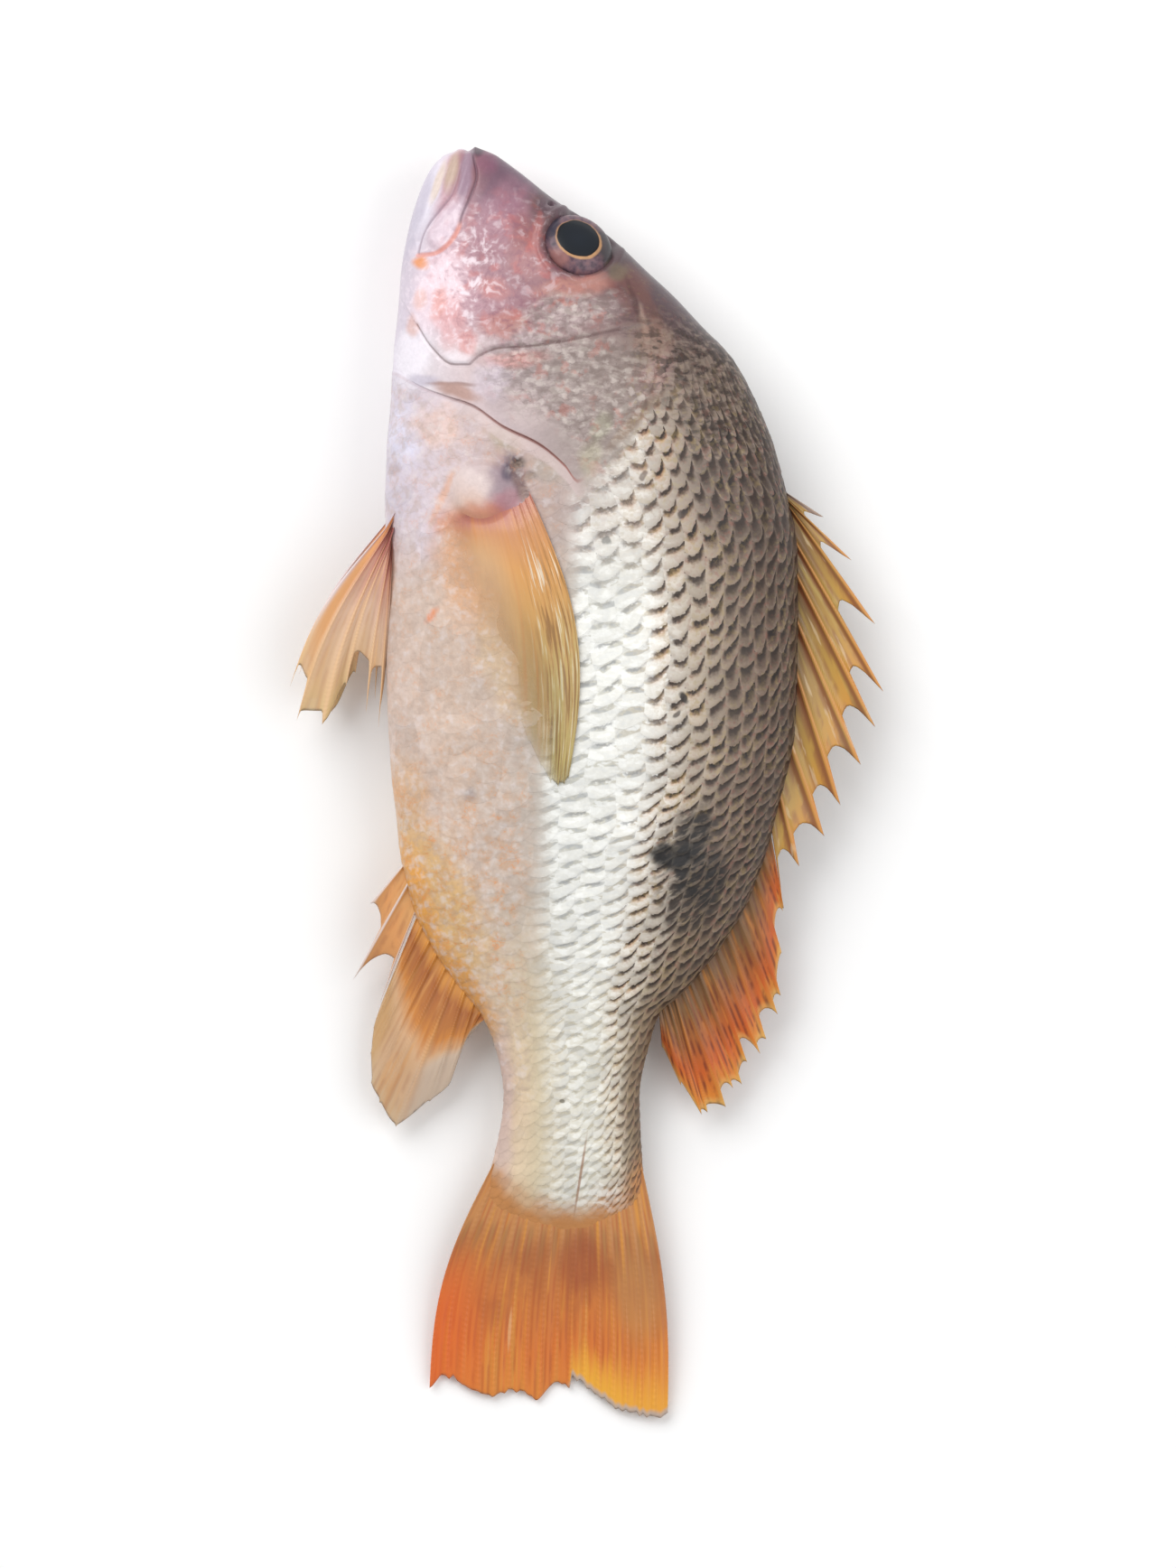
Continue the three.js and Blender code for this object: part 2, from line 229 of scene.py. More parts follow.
# The free edge of the gill cover, from the throat to its spur and up to the nape.
GILL_EDGE = [
    (-44.8, 53.0), (-37.8, 56.8), (-32.9, 58.6), (-26.7, 60.7), (-19.3, 65.8), (-10.8, 70.0),
    (-5.0, 74.9), (-2.1, 78.5), (2.5, 74.5), (8.7, 67.3), (20.0, 56.0), (33.0, 47.0),
]


def gill_edge(place):
    """How far behind the snout the gill cover ends, at a place across the body."""
    knots = []
    for x, behind in GILL_EDGE:
        belly, back = belly_edge(behind), back_edge(behind)
        knots.append(((2 * x - back - belly) / (back - belly), behind))
    return through(knots)(place)


# The scales lie in rows along the body. Each one is shorter and narrower towards the tail.
SCALE_LENGTH = [(30, 2.2), (55, 3.0), (75, 4.6), (93, 5.1), (110, 5.1), (127, 4.9), (144, 4.4),
                (161, 3.8), (178, 3.6), (195, 3.2), (236, 2.9), (257, 1.9)]
SCALE_ROW = [(30, 2.8), (55, 3.9), (75, 5.4), (93, 6.5), (140, 6.6), (160, 6.2), (178, 5.7),
             (195, 5.2), (210, 4.2), (228, 3.4), (240, 2.9), (257, 2.2)]
ROW_SHIFT = 0.3  # how far each row is ahead of the next one towards the back, in scales
ROW_CROWDING = 0.055  # how fast the rows get narrower towards the back
SCALE_TILT = 0.3  # how much farther the free edge of a scale reaches on its belly side
SCALE_ROUND = 1.1  # how round the free edge of a scale is
SCALE_DOME = 0.9  # how far its sides lie under its neighbours


def scale_places(behind, share):
    """Which scale covers a place: counted along its row, and row by row from the lateral line."""
    step = 0.25
    fine = np.arange(0, 260 + step, step)
    count = np.concatenate([[0], np.cumsum(step / through(SCALE_LENGTH)(fine[1:]))])
    wide = (back_edge(behind) - belly_edge(behind)) / 2
    thick = half_thickness(behind)
    spread = 3 * (wide + thick) - np.sqrt((3 * wide + thick) * (wide + 3 * thick))
    row = (0.5 - share) * np.pi / 2 * spread / through(SCALE_ROW)(behind)
    row = row + ROW_CROWDING * np.clip(row, 0, None) ** 2
    row = row + 0.12 * np.sin(0.19 * behind + 0.7 * row) + 0.08 * np.sin(0.43 * behind - 1.1 * row)
    along = np.interp(behind, fine, count)
    # towards the back and the tail the rows lie side by side, with no shift
    along = along + ROW_SHIFT * row * rise(behind, 130, 195) + 0.022 * np.clip(row - 1, 0, None) ** 2
    return along + 0.14 * np.sin(1.3 * row + 0.1 * behind) + 0.1 * np.sin(2.9 * row - 0.2 * behind), row


def scale_relief(along, row):
    """Height of the overlapping scales: 1 at a free edge, near 0 in the pocket behind it."""
    best = np.full(np.shape(row), -1.0)
    for k in (np.floor(row), np.floor(row) + 1):
        off = row - k
        back_from_edge = (ROW_SHIFT * k - off * (SCALE_ROUND * off + SCALE_TILT) - along) % 1
        best = np.maximum(best, 1 - back_from_edge - SCALE_DOME * off**2)
    return best


def unevenness(net):
    """Slow lumps of soft flesh, between -1 and 1."""
    x, y, z = (net[..., k] for k in range(3))
    return (np.sin(0.21 * x + 0.9) * np.sin(0.13 * y + 2.0) + np.sin(0.37 * y - 0.16 * x + 0.4) * 0.5
            + np.sin(0.5 * x + 0.29 * y + 0.23 * z) * 0.3) / 1.8


# Marks on the head, seen from above: across the body and behind the snout.
MOUTH_LINE = [(-28.2, -1.0), (-28.4, 1.8), (-29.7, 5.9), (-31.4, 11.2), (-35.0, 15.8),
              (-37.3, 18.8), (-38.8, 21.9), (-39.4, 25.2)]
SNOUT_FOLD = [(-26.9, -1.0), (-26.6, 2.0), (-25.7, 6.7), (-26.9, 11.2), (-29.3, 17.0), (-29.7, 18.8),
              (-32.4, 23.3), (-36.2, 25.4), (-39.4, 25.6)]
LIP_FOLD = [(-31.5, 3.0), (-34.4, 9.0), (-37.2, 15.5), (-39.4, 22.5)]
JAW_PLATE = [(-27.6, 2.0), (-28.2, 8.0), (-30.3, 14.0), (-34.0, 21.0)]
CHEEK_EDGE = [(-39.6, 41.9), (-36.2, 47.2), (-30.9, 51.4), (-27.1, 51.4), (-25.9, 49.9), (-20.2, 47.6),
              (-13.4, 47.2), (-5.8, 46.1), (1.7, 44.6), (7.5, 43.4)]
EYE = (-1.3, 22.6)
SOCKET = (9.1, 8.3)
SOCKET_DEPTH = 1.7
NOSTRIL = (-8.2, 13.4)
NOSTRIL_SIZE = (0.9, 0.6)
NOSTRIL_DEPTH = 0.9
CHEEK = (-26, 37)
CHEEK_SIZE = (15, 12)
CHEEK_SWELL = 0.7
COVER_LIFT = 0.8  # how far the gill cover stands off the flank at its free edge
COVER_THICK = 0.6
LOBE = (-24.2, 80.8)  # the fleshy root of the pectoral fin
LOBE_SIZE = (8.6, 8.2)
LOBE_HEIGHT = 2.0


def fit(centre, size, x, behind):
    """Distance from a centre in parts of a size: 1 on the oval of that size."""
    return np.hypot((x - centre[0]) / size[0], (behind - centre[1]) / size[1])


def lobe_bulge(x, behind):
    """Distance from the middle of the pectoral fin's fleshy root, in parts of its size, and its height."""
    out = fit(LOBE, LOBE_SIZE, x, behind)
    return out, LOBE_HEIGHT * np.sqrt(np.clip(1 - out**2, 0, 1)) * rise(1 - out, 0, 0.35)


def spur(place):
    """How free the edge of the gill cover is: 1 below its spur, 0 where it has grown on above."""
    return 1 - rise(place, -0.2, 0.0)


def scale_cover(behind, place, gap):
    """Where the skin has large scales: from the nape and some way behind the gill cover on."""
    near_spur = hump(place - 0.05, 0.25)
    nape = rise(behind, 38, 56) * rise(place, 0.3, 0.62)
    return np.maximum(nape, rise(gap, -1 + near_spur, 2 + 8 * near_spur)) * (1 - rise(behind, 246, 254))


def head_relief(x, behind, place):
    """How far the skin of the head stands proud of the plain body, and its lines' distances."""
    mouth, _, mouth_along = beside(MOUTH_LINE, x, behind)
    fold, _, _ = beside(SNOUT_FOLD, x, behind)
    plate, _, plate_along = beside(JAW_PLATE, x, behind)
    cheek, rear, _ = beside(CHEEK_EDGE, x, behind)
    socket = fit(EYE, SOCKET, x, behind)
    relief = 0.35 * hump(mouth - 1.5, 0.9) * (1 - rise(mouth_along, 0.85, 1))
    relief -= 0.4 * hump(mouth, 0.4) * (0.25 + 0.75 * rise(behind, 6, 15))
    relief -= 0.4 * hump(fold, 0.4) * (1 - 0.5 * rise(behind, 18, 22))
    lip, _, _ = beside(LIP_FOLD, x, behind)
    relief -= 0.35 * hump(lip, 0.5)
    relief += 0.5 * (1 - rise(plate - 1.2 - 2.2 * plate_along, -1.2, 0.6))
    before_cheek = (rear < 0) & (cheek < 30)
    relief += 0.55 * np.exp(-cheek / 7) * rise(np.where(before_cheek, cheek, -cheek), -0.35, 0.35)
    relief -= 0.5 * hump(cheek, 0.45)
    relief -= SOCKET_DEPTH * (1 - rise(socket, 0.8, 1.03))
    relief += 0.5 * hump(socket - 1.1, 0.08)
    relief -= NOSTRIL_DEPTH * (1 - rise(fit(NOSTRIL, NOSTRIL_SIZE, x, behind), 0.4, 1.1))
    relief += CHEEK_SWELL * (1 - rise(fit(CHEEK, CHEEK_SIZE, x, behind), 0, 1))
    lift = COVER_LIFT * through([(44, 0), (62, 1), (90, 1)])(behind)
    lift *= spur(place)
    return relief, lift, mouth, fold, cheek


def band_place(x, behind):
    """-1 at the belly, 0 and 1 at the two edges of the silver band, 2 at the back."""
    low = through([(60, -3), (79, -2.5), (101, -2), (120, -6), (135, -9.5), (210, -9.5), (240, -9),
                   (257, -12)])(behind)
    high = through([(60, 11), (80, 14), (101, 17), (135, 18), (160, 15), (177.6, 11), (209, 6.6),
                    (230, 6), (257, 8)])(behind)
    belly, back = belly_edge(behind), back_edge(behind)
    below = (x - low) / (low - belly)
    beyond = 1 + (x - high) / (back - high)
    return np.where(x < low, below, np.where(x > high, beyond, (x - low) / (high - low)))


# Ground colours from belly to back: of the face, the gill cover, the shoulder, flank and tail.
FACE = [(-1, (213, 201, 214)), (-0.82, (222, 208, 220)), (-0.6, (202, 164, 174)), (-0.34, (170, 126, 136)),
        (0, (150, 109, 116)), (0.3, (138, 103, 106)), (0.6, (104, 80, 82)), (1, (76, 58, 65))]
COVER = [(-1, (214, 204, 220)), (-0.8, (228, 218, 224)), (-0.56, (210, 190, 192)), (-0.36, (184, 166, 168)),
         (-0.1, (172, 156, 153)), (0.16, (166, 150, 145)), (0.4, (144, 127, 121)), (0.6, (108, 92, 86)),
         (1, (80, 66, 63))]
SHOULDER = [(-1, (212, 202, 216)), (-0.7, (216, 200, 206)), (-0.4, (194, 170, 165)), (0, (182, 164, 158)),
            (0.38, (200, 191, 184)), (0.86, (190, 177, 164)), (1.13, (154, 137, 125)),
            (1.46, (114, 97, 87)), (2, (88, 74, 66))]
# in FLANK and STALK the white of the silver band is its silvery skin and partly a painted reflection of the
# light, with a sharp edge on its belly side
FLANK = [(-1, (216, 194, 182)), (-0.6, (213, 190, 174)), (-0.25, (200, 183, 171)), (-0.08, (194, 182, 171)),
         (0.1, (206, 205, 196)), (0.5, (218, 216, 204)), (0.85, (208, 200, 184)), (1, (188, 177, 163)),
         (1.25, (178, 164, 147)), (1.5, (140, 121, 104)), (1.75, (119, 99, 85)), (2, (92, 76, 64))]
STALK = [(-1, (212, 184, 160)), (-0.5, (222, 200, 170)), (-0.2, (214, 198, 168)), (0.3, (206, 198, 178)),
         (0.6, (212, 206, 187)), (1, (196, 183, 156)), (1.46, (162, 141, 114)), (2, (126, 104, 82))]
TAIL_TINT = (190, 130, 76)  # the skin where the tail fin begins
# across, behind, half width, half length, turn, colour, strength: the patches of the ground colour, among
# them painted shade, shadows and a painted highlight
PATCHES = [
    ("snout", -17.5, 7.5, 6.0, 12.0, 38, (118, 88, 108), 0.75),
    ("snout front", -23.5, 3.0, 2.6, 3.5, 0, (140, 88, 114), 0.6),
    ("snout tip", -25.6, 0.6, 1.7, 1.5, 0, (62, 44, 60), 0.85),
    ("brow", -4.0, 10.5, 3.5, 9.0, 52, (90, 68, 80), 0.7),
    ("lower jaw", -37.4, 13.0, 2.6, 10.0, 16, (230, 224, 236), 0.8),
    # painted shade along the outline of the lower jaw
    ("jaw edge", -39.6, 16.0, 1.6, 12.0, 16, (186, 178, 196), 0.6),
    ("jaw streak", -34.8, 8.4, 0.9, 5.0, 18, (222, 202, 184), 0.75),
    ("lip", -31.4, 5.8, 1.5, 4.6, 12, (196, 172, 152), 0.85),
    ("upper lip", -28.2, 7.0, 1.3, 8.0, 8, (160, 134, 152), 0.85),
    ("jaw plate", -32.8, 18.6, 2.6, 6.0, 28, (226, 206, 218), 0.85),
    ("corner of the mouth", -38.8, 27.4, 1.8, 1.6, 0, (240, 160, 108), 0.95),
    ("nose side", -19.5, 17.0, 5.5, 8.0, 20, (184, 136, 150), 0.5),
    ("before the eye", -15.2, 20.6, 2.6, 4.4, 0, (158, 94, 94), 0.65),
    ("socket corner", -11.9, 20.8, 1.3, 4.6, 14, (186, 104, 98), 0.55),
    ("under the eye", -2.5, 33.2, 9.0, 2.4, -8, (198, 138, 124), 0.7),
    ("temple", 11.0, 32.5, 3.0, 5.0, -34, (120, 78, 72), 0.6),
    ("temple moss", 7.6, 29.6, 2.4, 2.2, -15, (124, 112, 92), 0.6),
    ("temple streak", 13.4, 41.6, 0.8, 4.2, -14, (176, 148, 134), 0.6),
    ("temple ridge", 11.4, 37.6, 0.7, 6.5, -16, (84, 56, 54), 0.6),
    ("temple red", 8.0, 35.6, 1.2, 4.6, -34, (126, 66, 62), 0.4),
    ("temple side", 15.0, 38.5, 1.6, 6.0, -28, (112, 78, 72), 0.6),
    ("nape flush", 16.0, 46.0, 4.0, 5.0, -20, (150, 118, 104), 0.55),
    # a painted highlight on the lower cheek
    ("bright cheek", -34.5, 33.5, 5.0, 9.0, 16, (250, 226, 234), 0.7),
    ("cheek flush", -31.5, 41.0, 3.6, 6.0, -10, (238, 178, 178), 0.6),
    ("cheek streak", -34.4, 37.0, 1.5, 4.0, 12, (236, 158, 144), 0.55),
    ("cheek arc", -38.6, 36.0, 1.6, 2.4, 0, (242, 190, 172), 0.5),
    ("cheek end", -27.6, 46.6, 2.0, 3.0, 15, (228, 144, 138), 0.5),
    ("cheek middle", -18.9, 42.0, 5.6, 2.8, -5, (196, 126, 114), 0.6),
    ("cheek spot", -21.6, 33.6, 3.4, 2.6, 30, (200, 124, 116), 0.55),
    ("cheek side", -14.0, 28.0, 5.0, 3.0, 40, (186, 132, 132), 0.5),
    ("cheek scales", -3.0, 38.8, 10.0, 3.8, -6, (184, 166, 164), 0.7),
    ("cheek corner", -29.5, 50.0, 3.0, 1.4, 10, (236, 226, 232), 0.8),
    ("throat", -41.0, 50.0, 4.0, 6.5, 12, (248, 242, 250), 0.8),
    ("throat flush", -40.6, 42.0, 1.4, 2.6, 0, (226, 176, 160), 0.6),
    ("throat shade", -38.2, 55.0, 4.0, 1.3, 8, (186, 178, 196), 0.6),
    ("flap shadow", -30.4, 56.0, 6.0, 0.5, 2, (140, 102, 90), 0.7),
    ("flap", -29.6, 57.9, 5.4, 1.7, 15, (186, 150, 140), 0.95),
    ("cover flush", -17.0, 50.4, 7.5, 1.9, -5, (210, 124, 112), 0.5),
    ("cover grey", -22.5, 55.0, 4.0, 4.0, 0, (208, 194, 206), 0.6),
    ("cover middle", -14.0, 62.0, 6.0, 4.0, 35, (200, 180, 178), 0.5),
    ("cover top", 11.5, 64.5, 1.3, 9.5, 43, (140, 110, 84), 0.55),
    ("cover top flush", 16.0, 54.0, 3.6, 5.5, 40, (168, 128, 128), 0.5),
    ("spur glow", 0.8, 73.5, 2.6, 4.5, 10, (184, 180, 150), 0.5),
    ("shoulder moss", 3.6, 66.0, 2.0, 3.4, 30, (196, 196, 168), 0.5),
    ("behind the cover", -42.4, 68.0, 3.4, 7.0, 0, (226, 224, 244), 0.7),
    ("breast", -35.0, 66.0, 6.0, 5.0, 0, (236, 202, 188), 0.6),
    ("breast pearl", -36.5, 92.0, 3.4, 5.0, 10, (218, 208, 222), 0.6),
    ("pit moss", -19.0, 69.0, 4.0, 2.4, 30, (176, 162, 138), 0.6),
    ("behind the fin pit", -9.0, 76.0, 3.6, 3.0, 40, (176, 166, 152), 0.5),
    ("lobe", -26.6, 80.6, 6.3, 4.6, 20, (228, 210, 206), 0.85),
    ("lobe shade", -18.4, 79.5, 3.8, 6.5, 4, (142, 122, 136), 0.75),
    ("lobe blush", -19.0, 84.5, 5.0, 3.4, -30, (178, 126, 134), 0.75),
    ("lobe shadow", -17.6, 75.4, 1.7, 3.0, 14, (66, 60, 82), 0.85),
    # painted shade down the dark side of the fin's fleshy root
    ("lobe dark side", -14.9, 80.5, 1.5, 6.5, -26, (112, 86, 84), 0.8),
    ("lobe foot", -26.0, 88.0, 9.0, 3.6, -4, (182, 106, 104), 0.85),
    ("lobe side", -33.6, 82.0, 0.9, 6.0, 24, (236, 164, 108), 0.5),
    # painted shadow in the pits beside the root of the pectoral fin
    ("fin pit", -15.8, 74.6, 1.6, 1.5, 0, (54, 48, 48), 0.9),
    ("rear pit", -13.0, 77.6, 1.3, 1.1, 0, (84, 78, 72), 0.6),
    ("fin glow", -26.5, 98.0, 8.6, 15.0, -12, (222, 164, 114), 0.65),
    ("fin glow end", -18.5, 120.0, 6.0, 15.0, -14, (212, 182, 142), 0.6),
    ("orange mark", -36.2, 110.0, 0.8, 2.2, 40, (232, 134, 84), 0.7),
    ("belly fleck", -27.4, 152.0, 1.3, 1.6, 0, (150, 138, 140), 0.6),
    ("belly spot", -45.0, 151.0, 1.2, 3.0, 0, (226, 150, 88), 0.6),
    ("breast fleck", -45.0, 75.8, 1.4, 1.6, 0, (150, 124, 118), 0.35),
    ("belly glow", -42.0, 156.0, 5.0, 12.0, -6, (224, 178, 128), 0.6),
    ("vent glow", -35.0, 178.0, 8.5, 19.0, -22, (222, 178, 112), 0.8),
    ("anal flush", -39.5, 177.0, 3.4, 13.0, -14, (232, 162, 66), 0.9),
    ("anal base", -29.5, 196.0, 3.2, 13.0, -33, (226, 158, 66), 0.85),
    ("stalk left", -19.6, 226.0, 2.4, 18.0, 0, (208, 184, 190), 0.4),
]


def srgb(red, green, blue):
    """A colour as an eye sees it, 0 to 255, in the linear values of the nodes."""
    def linear(value):
        value /= 255
        return value / 12.92 if value <= 0.04045 else ((value + 0.055) / 1.055) ** 2.4
    return (linear(red), linear(green), linear(blue), 1)


def ramp(stops, at):
    """Colours between those of the stops."""
    places = [place for place, _ in stops]
    tints = np.array([srgb(*tint)[:3] for _, tint in stops])
    return np.stack([np.interp(at, places, tints[:, k]) for k in range(3)], -1)


def covered(colours, others, mask):
    """Colours with others over them, as far as the mask says."""
    return colours + (others - colours) * np.asarray(mask)[..., None]


def patch(x, behind, across_at, behind_at, wide, long, turn, soft=0.45):
    """A soft oval spot, 1 in its middle, turned by an angle in degrees."""
    cosine, sine = math.cos(math.radians(turn)), math.sin(math.radians(turn))
    right, down = x - across_at, behind - behind_at
    out = np.hypot((right * cosine + down * sine) / wide, (down * cosine - right * sine) / long)
    return 1 - rise(out, 1 - soft, 1 + soft)


def wavering(x, behind):
    """Places moved a little to and fro, so that no patch has an even edge."""
    aside = (np.sin(0.45 * x + 0.31 * behind + 1) + 0.7 * np.sin(0.93 * behind - 0.5 * x + 2)
             + 0.5 * np.sin(1.9 * x + 1.3 * behind))
    along = (np.sin(0.38 * behind - 0.42 * x + 4) + 0.7 * np.sin(0.88 * x + 0.6 * behind)
             + 0.5 * np.sin(1.7 * behind - 1.5 * x + 1))
    return x + 0.6 * aside, behind + 0.6 * along


def tail_root(x, behind):
    """How far the skin has turned from scales to the tail's own orange."""
    return rise(behind + 0.035 * np.minimum((x + 5.5) ** 2, 300), 245, 254)


def ground_colour(x, behind, place, band, gap):
    """The skin's ground colour without its scales, veins and lines, some of it painted light and shade."""
    face = covered(ramp(FACE, place), ramp(COVER, place), rise(behind, 37, 50))
    flank = covered(ramp(FLANK, band), ramp(STALK, band), rise(behind, 165, 212))
    flank = covered(ramp(SHOULDER, band), flank, rise(behind, 82, 108))
    colours = covered(face, flank, rise(gap / (0.4 + 6 * rise(place, -0.14, 0.3)), -1, 1))
    wavy_x, wavy_behind = wavering(x, behind)
    for _, *spot, tint, strength in PATCHES:
        share = min(1, min(spot[2:4]) / 5)
        there = patch(x + (wavy_x - x) * share, behind + (wavy_behind - behind) * share, *spot)
        colours = covered(colours, np.array(srgb(*tint)[:3]), there * strength)
    colours = covered(colours, np.array(srgb(*TAIL_TINT)[:3]), tail_root(wavy_x, wavy_behind))
    return np.moveaxis(colours, -1, 0)


def zones(x, behind, place, band, gap):
    """Where the skin has small flakes, blood, flecks of painted sheen, dark spots, and each kind of scale.
    """
    wavy = wavering(x, behind)
    on_head = 1 - rise(gap, -0.6, -0.2)
    flaky = patch(*wavy, -3.0, 39.0, 12.0, 4.5, -8, 0.4)
    flaky = flaky + patch(*wavy, -3.0, 55.0, 21.0, 11.0, 14, 0.35) * on_head
    flaky = np.minimum(flaky + patch(*wavy, 7.0, 68.0, 11.0, 11.0, -30, 0.5) * 0.8, 1)
    bloody = patch(x, behind, -18.0, 31.0, 17.0, 18.0, 0, 0.4)
    # the lower cheek, where pale flecks are painted as highlights of its wet skin
    cheek_sheen = patch(x, behind, -32.0, 33.0, 10.0, 17.0, 10, 0.5)
    spotted = rise(place, 0.32, 0.6) * rise(behind, 36, 48) * (1 - rise(behind, 66, 82))
    soft = 1 + 2.5 * rise(behind, 150, 210)
    belly = (1 - rise(band, -0.16 * soft, 0.02 * soft)) * rise(gap, 0, 4) * (1 - rise(behind, 215, 240))
    belly = belly * (1 - patch(x, behind, -24.0, 83.0, 9.0, 9.0, 0, 0.2))
    netted = belly * (0.3 + 0.7 * rise(behind, 130, 175)) * (1 - rise(behind, 192, 212))
    brown = rise(band, 0.74, 1.05) * rise(place, 0.15, 0.4) * (0.25 + 0.75 * rise(behind, 50, 70))
    shoulder = rise(band, -0.1, 0.3) * (1 - rise(behind, 84, 112)) * rise(gap, 0, 5)
    brown = np.maximum(brown * (1 - 0.45 * rise(behind, 192, 212)), 0.5 * shoulder)
    deep = rise(band, 1.1, 1.58)
    silver = rise(band, -0.08 * soft, 0.1 * soft) * (1 - rise(band, 1 - 0.07 * soft, 1.1 + 0.17 * soft))
    silver = silver * rise(gap, -2, 6) * (1 - 0.45 * rise(behind, 180, 215)) * (1 - 0.45 * shoulder)
    silver = silver * (1 - rise(behind, 249, 254)) * scale_cover(behind, place, gap)
    return {"head_zones": (flaky, bloody, cheek_sheen), "body_zones": (spotted, belly, netted),
            "scale_zones": (brown, deep, silver)}


FAR = 99.0  # distance of a line that isn't on the piece


def skin_marks(x, behind, place, gap, scales, lines=(FAR, FAR, FAR), before=0, after=0):
    """What the finish reads on a net of skin, carried on to the hidden rows before and after it."""
    band = band_place(x, behind)
    marks = {"scales": scales, "lines": lines, "layout": (place, gap, behind),
             "ground": ground_colour(x, behind, place, band, gap), **zones(x, behind, place, band, gap)}

    def carried(values):
        values = np.broadcast_to(values, x.shape)
        return np.concatenate([np.repeat(values[:1], before, 0), values, np.repeat(values[-1:], after, 0)])

    return {name: [carried(mark) for mark in three] for name, three in marks.items()}


HEAD_SCALES, TRUNK_SCALES = 0.2, 0.24  # how far the scales stand proud there
LUMPS = 0.25  # how uneven the soft flesh is
NAPE_SINK = 0.3  # how far the skin sinks where the head has grown on to the trunk
TUCK = 7.0  # how far the skin of the trunk runs on under the gill cover
LANDING = 0.5  # how softly the round flank turns into the pressed one
JAWS_MEET = -27.5  # where the mouth comes round the tip of the snout
THROAT = np.array([0.0, SNOUT - 44, 19.4])  # inside the body, where all hidden skin ends

# the head: its rows run from the snout to the free edge of the gill cover
HEAD_ROWS, HEAD_UPPER, HEAD_LOWER = 262, 226, 114
turn, share = columns_round(HEAD_UPPER, HEAD_LOWER)
place = across(turn)
edge = gill_edge(place)
spread = through([(0, 0), (0.06, 0.03), (1, 1)])(np.linspace(0, 1, HEAD_ROWS + 1))[:, None]
behind = edge * spread
net = flesh(behind, turn)
normal = outward(net)
gap = behind - edge
x = net[..., 0]
relief, lift, mouth, fold, cheek = head_relief(x, behind, place)
along, row = scale_places(behind, share)
scaled = scale_cover(behind, place, gap)
side = np.sin(turn) ** 2
push = relief * rise(np.abs(np.sin(turn)), 0.0, 0.3) + lift * side
push = push + HEAD_SCALES * scaled * scale_relief(along, row) + LUMPS * unevenness(net) * rise(behind, 4, 20)
push = push - NAPE_SINK * rise(gap, -TUCK, 0) * (1 - spur(place))
shell = net + normal * push[..., None]
shell[..., 1] -= 0.9 * hump(x - JAWS_MEET, 0.8) * (1 - rise(behind, 0.2, 2.5))
# the thickness of the gill cover, its inner side, and the end inside the body
rim = net[-1] + normal[-1] * lift[-1:].T * side[:, None]
inner = flesh(edge - 3, turn) - normal[-1] * COVER_THICK
hidden = [
    rim - normal[-1] * (COVER_THICK / 2), rim - normal[-1] * COVER_THICK, inner,
    THROAT + (inner - THROAT) * 0.6, np.broadcast_to(THROAT, inner.shape),
]
shell = np.concatenate([shell, np.stack(hidden)])
shell[..., 2] = above(shell[..., 2], REST, LANDING)
scales, lines = (along, row, scaled), (mouth, fold, cheek)
head = sleeve("head", shell, skin_marks(x, behind, place, gap, scales, lines, after=len(hidden)))

# the trunk: its rows run from inside the body, out under the gill cover, to the tail
TRUNK_ROWS, TRUNK_UPPER, TRUNK_LOWER = 422, 152, 78
TAIL_END = 257.0
turn, share = columns_round(TRUNK_UPPER, TRUNK_LOWER)
place = across(turn)
edge = gill_edge(place)
start = edge - TUCK
spread = through([(0, 0), (0.4, 0.46), (1, 1)])(np.linspace(0, 1, TRUNK_ROWS + 1))[:, None]
behind = start + (TAIL_END - start) * spread
net = flesh(behind, turn)
normal = outward(net)
gap = behind - edge
x = net[..., 0]
along, row = scale_places(behind, share)
side = np.sin(turn) ** 2
scaled = scale_cover(behind, place, gap)
from_lobe, bulge = lobe_bulge(x, behind)
scaled = scaled * rise(from_lobe, 0.7, 1.15)
band = band_place(x, behind)
soft_belly = (1 - rise(band, -0.2, 0.05)) * (1 - 0.45 * rise(behind, 150, 190))
silvered = rise(band, -0.1, 0.1) * (1 - rise(band, 0.7, 1.0))
push = TRUNK_SCALES * scaled * scale_relief(along, row) * (1 - 0.8 * soft_belly) * (1 - 0.45 * silvered)
push = push + LUMPS * unevenness(net) * rise(behind, 60, 90) * (1 - rise(behind, 200, 240))
push = push + bulge
tucked = spur(place)
push = push - 0.4 * tucked * (1 - rise(gap, -1.6, -0.1)) - 0.2 * tucked * side * hump(gap, 1.3)
push = push - NAPE_SINK * (1 - tucked) * (1 - rise(gap, -TUCK, 0))
shell = net + normal * push[..., None]
# the start of the skin, inside the body
inner = shell[0] - normal[0] * 1.5
hidden = [np.broadcast_to(THROAT, inner.shape), THROAT + (inner - THROAT) * 0.7]
shell = np.concatenate([np.stack(hidden), shell])
shell[..., 2] = above(shell[..., 2], REST, LANDING)
shell[-1, :, 2] = middle_height(TAIL_END)
trunk = sleeve("trunk", shell, skin_marks(x, behind, place, gap, (along, row, scaled), before=len(hidden)))


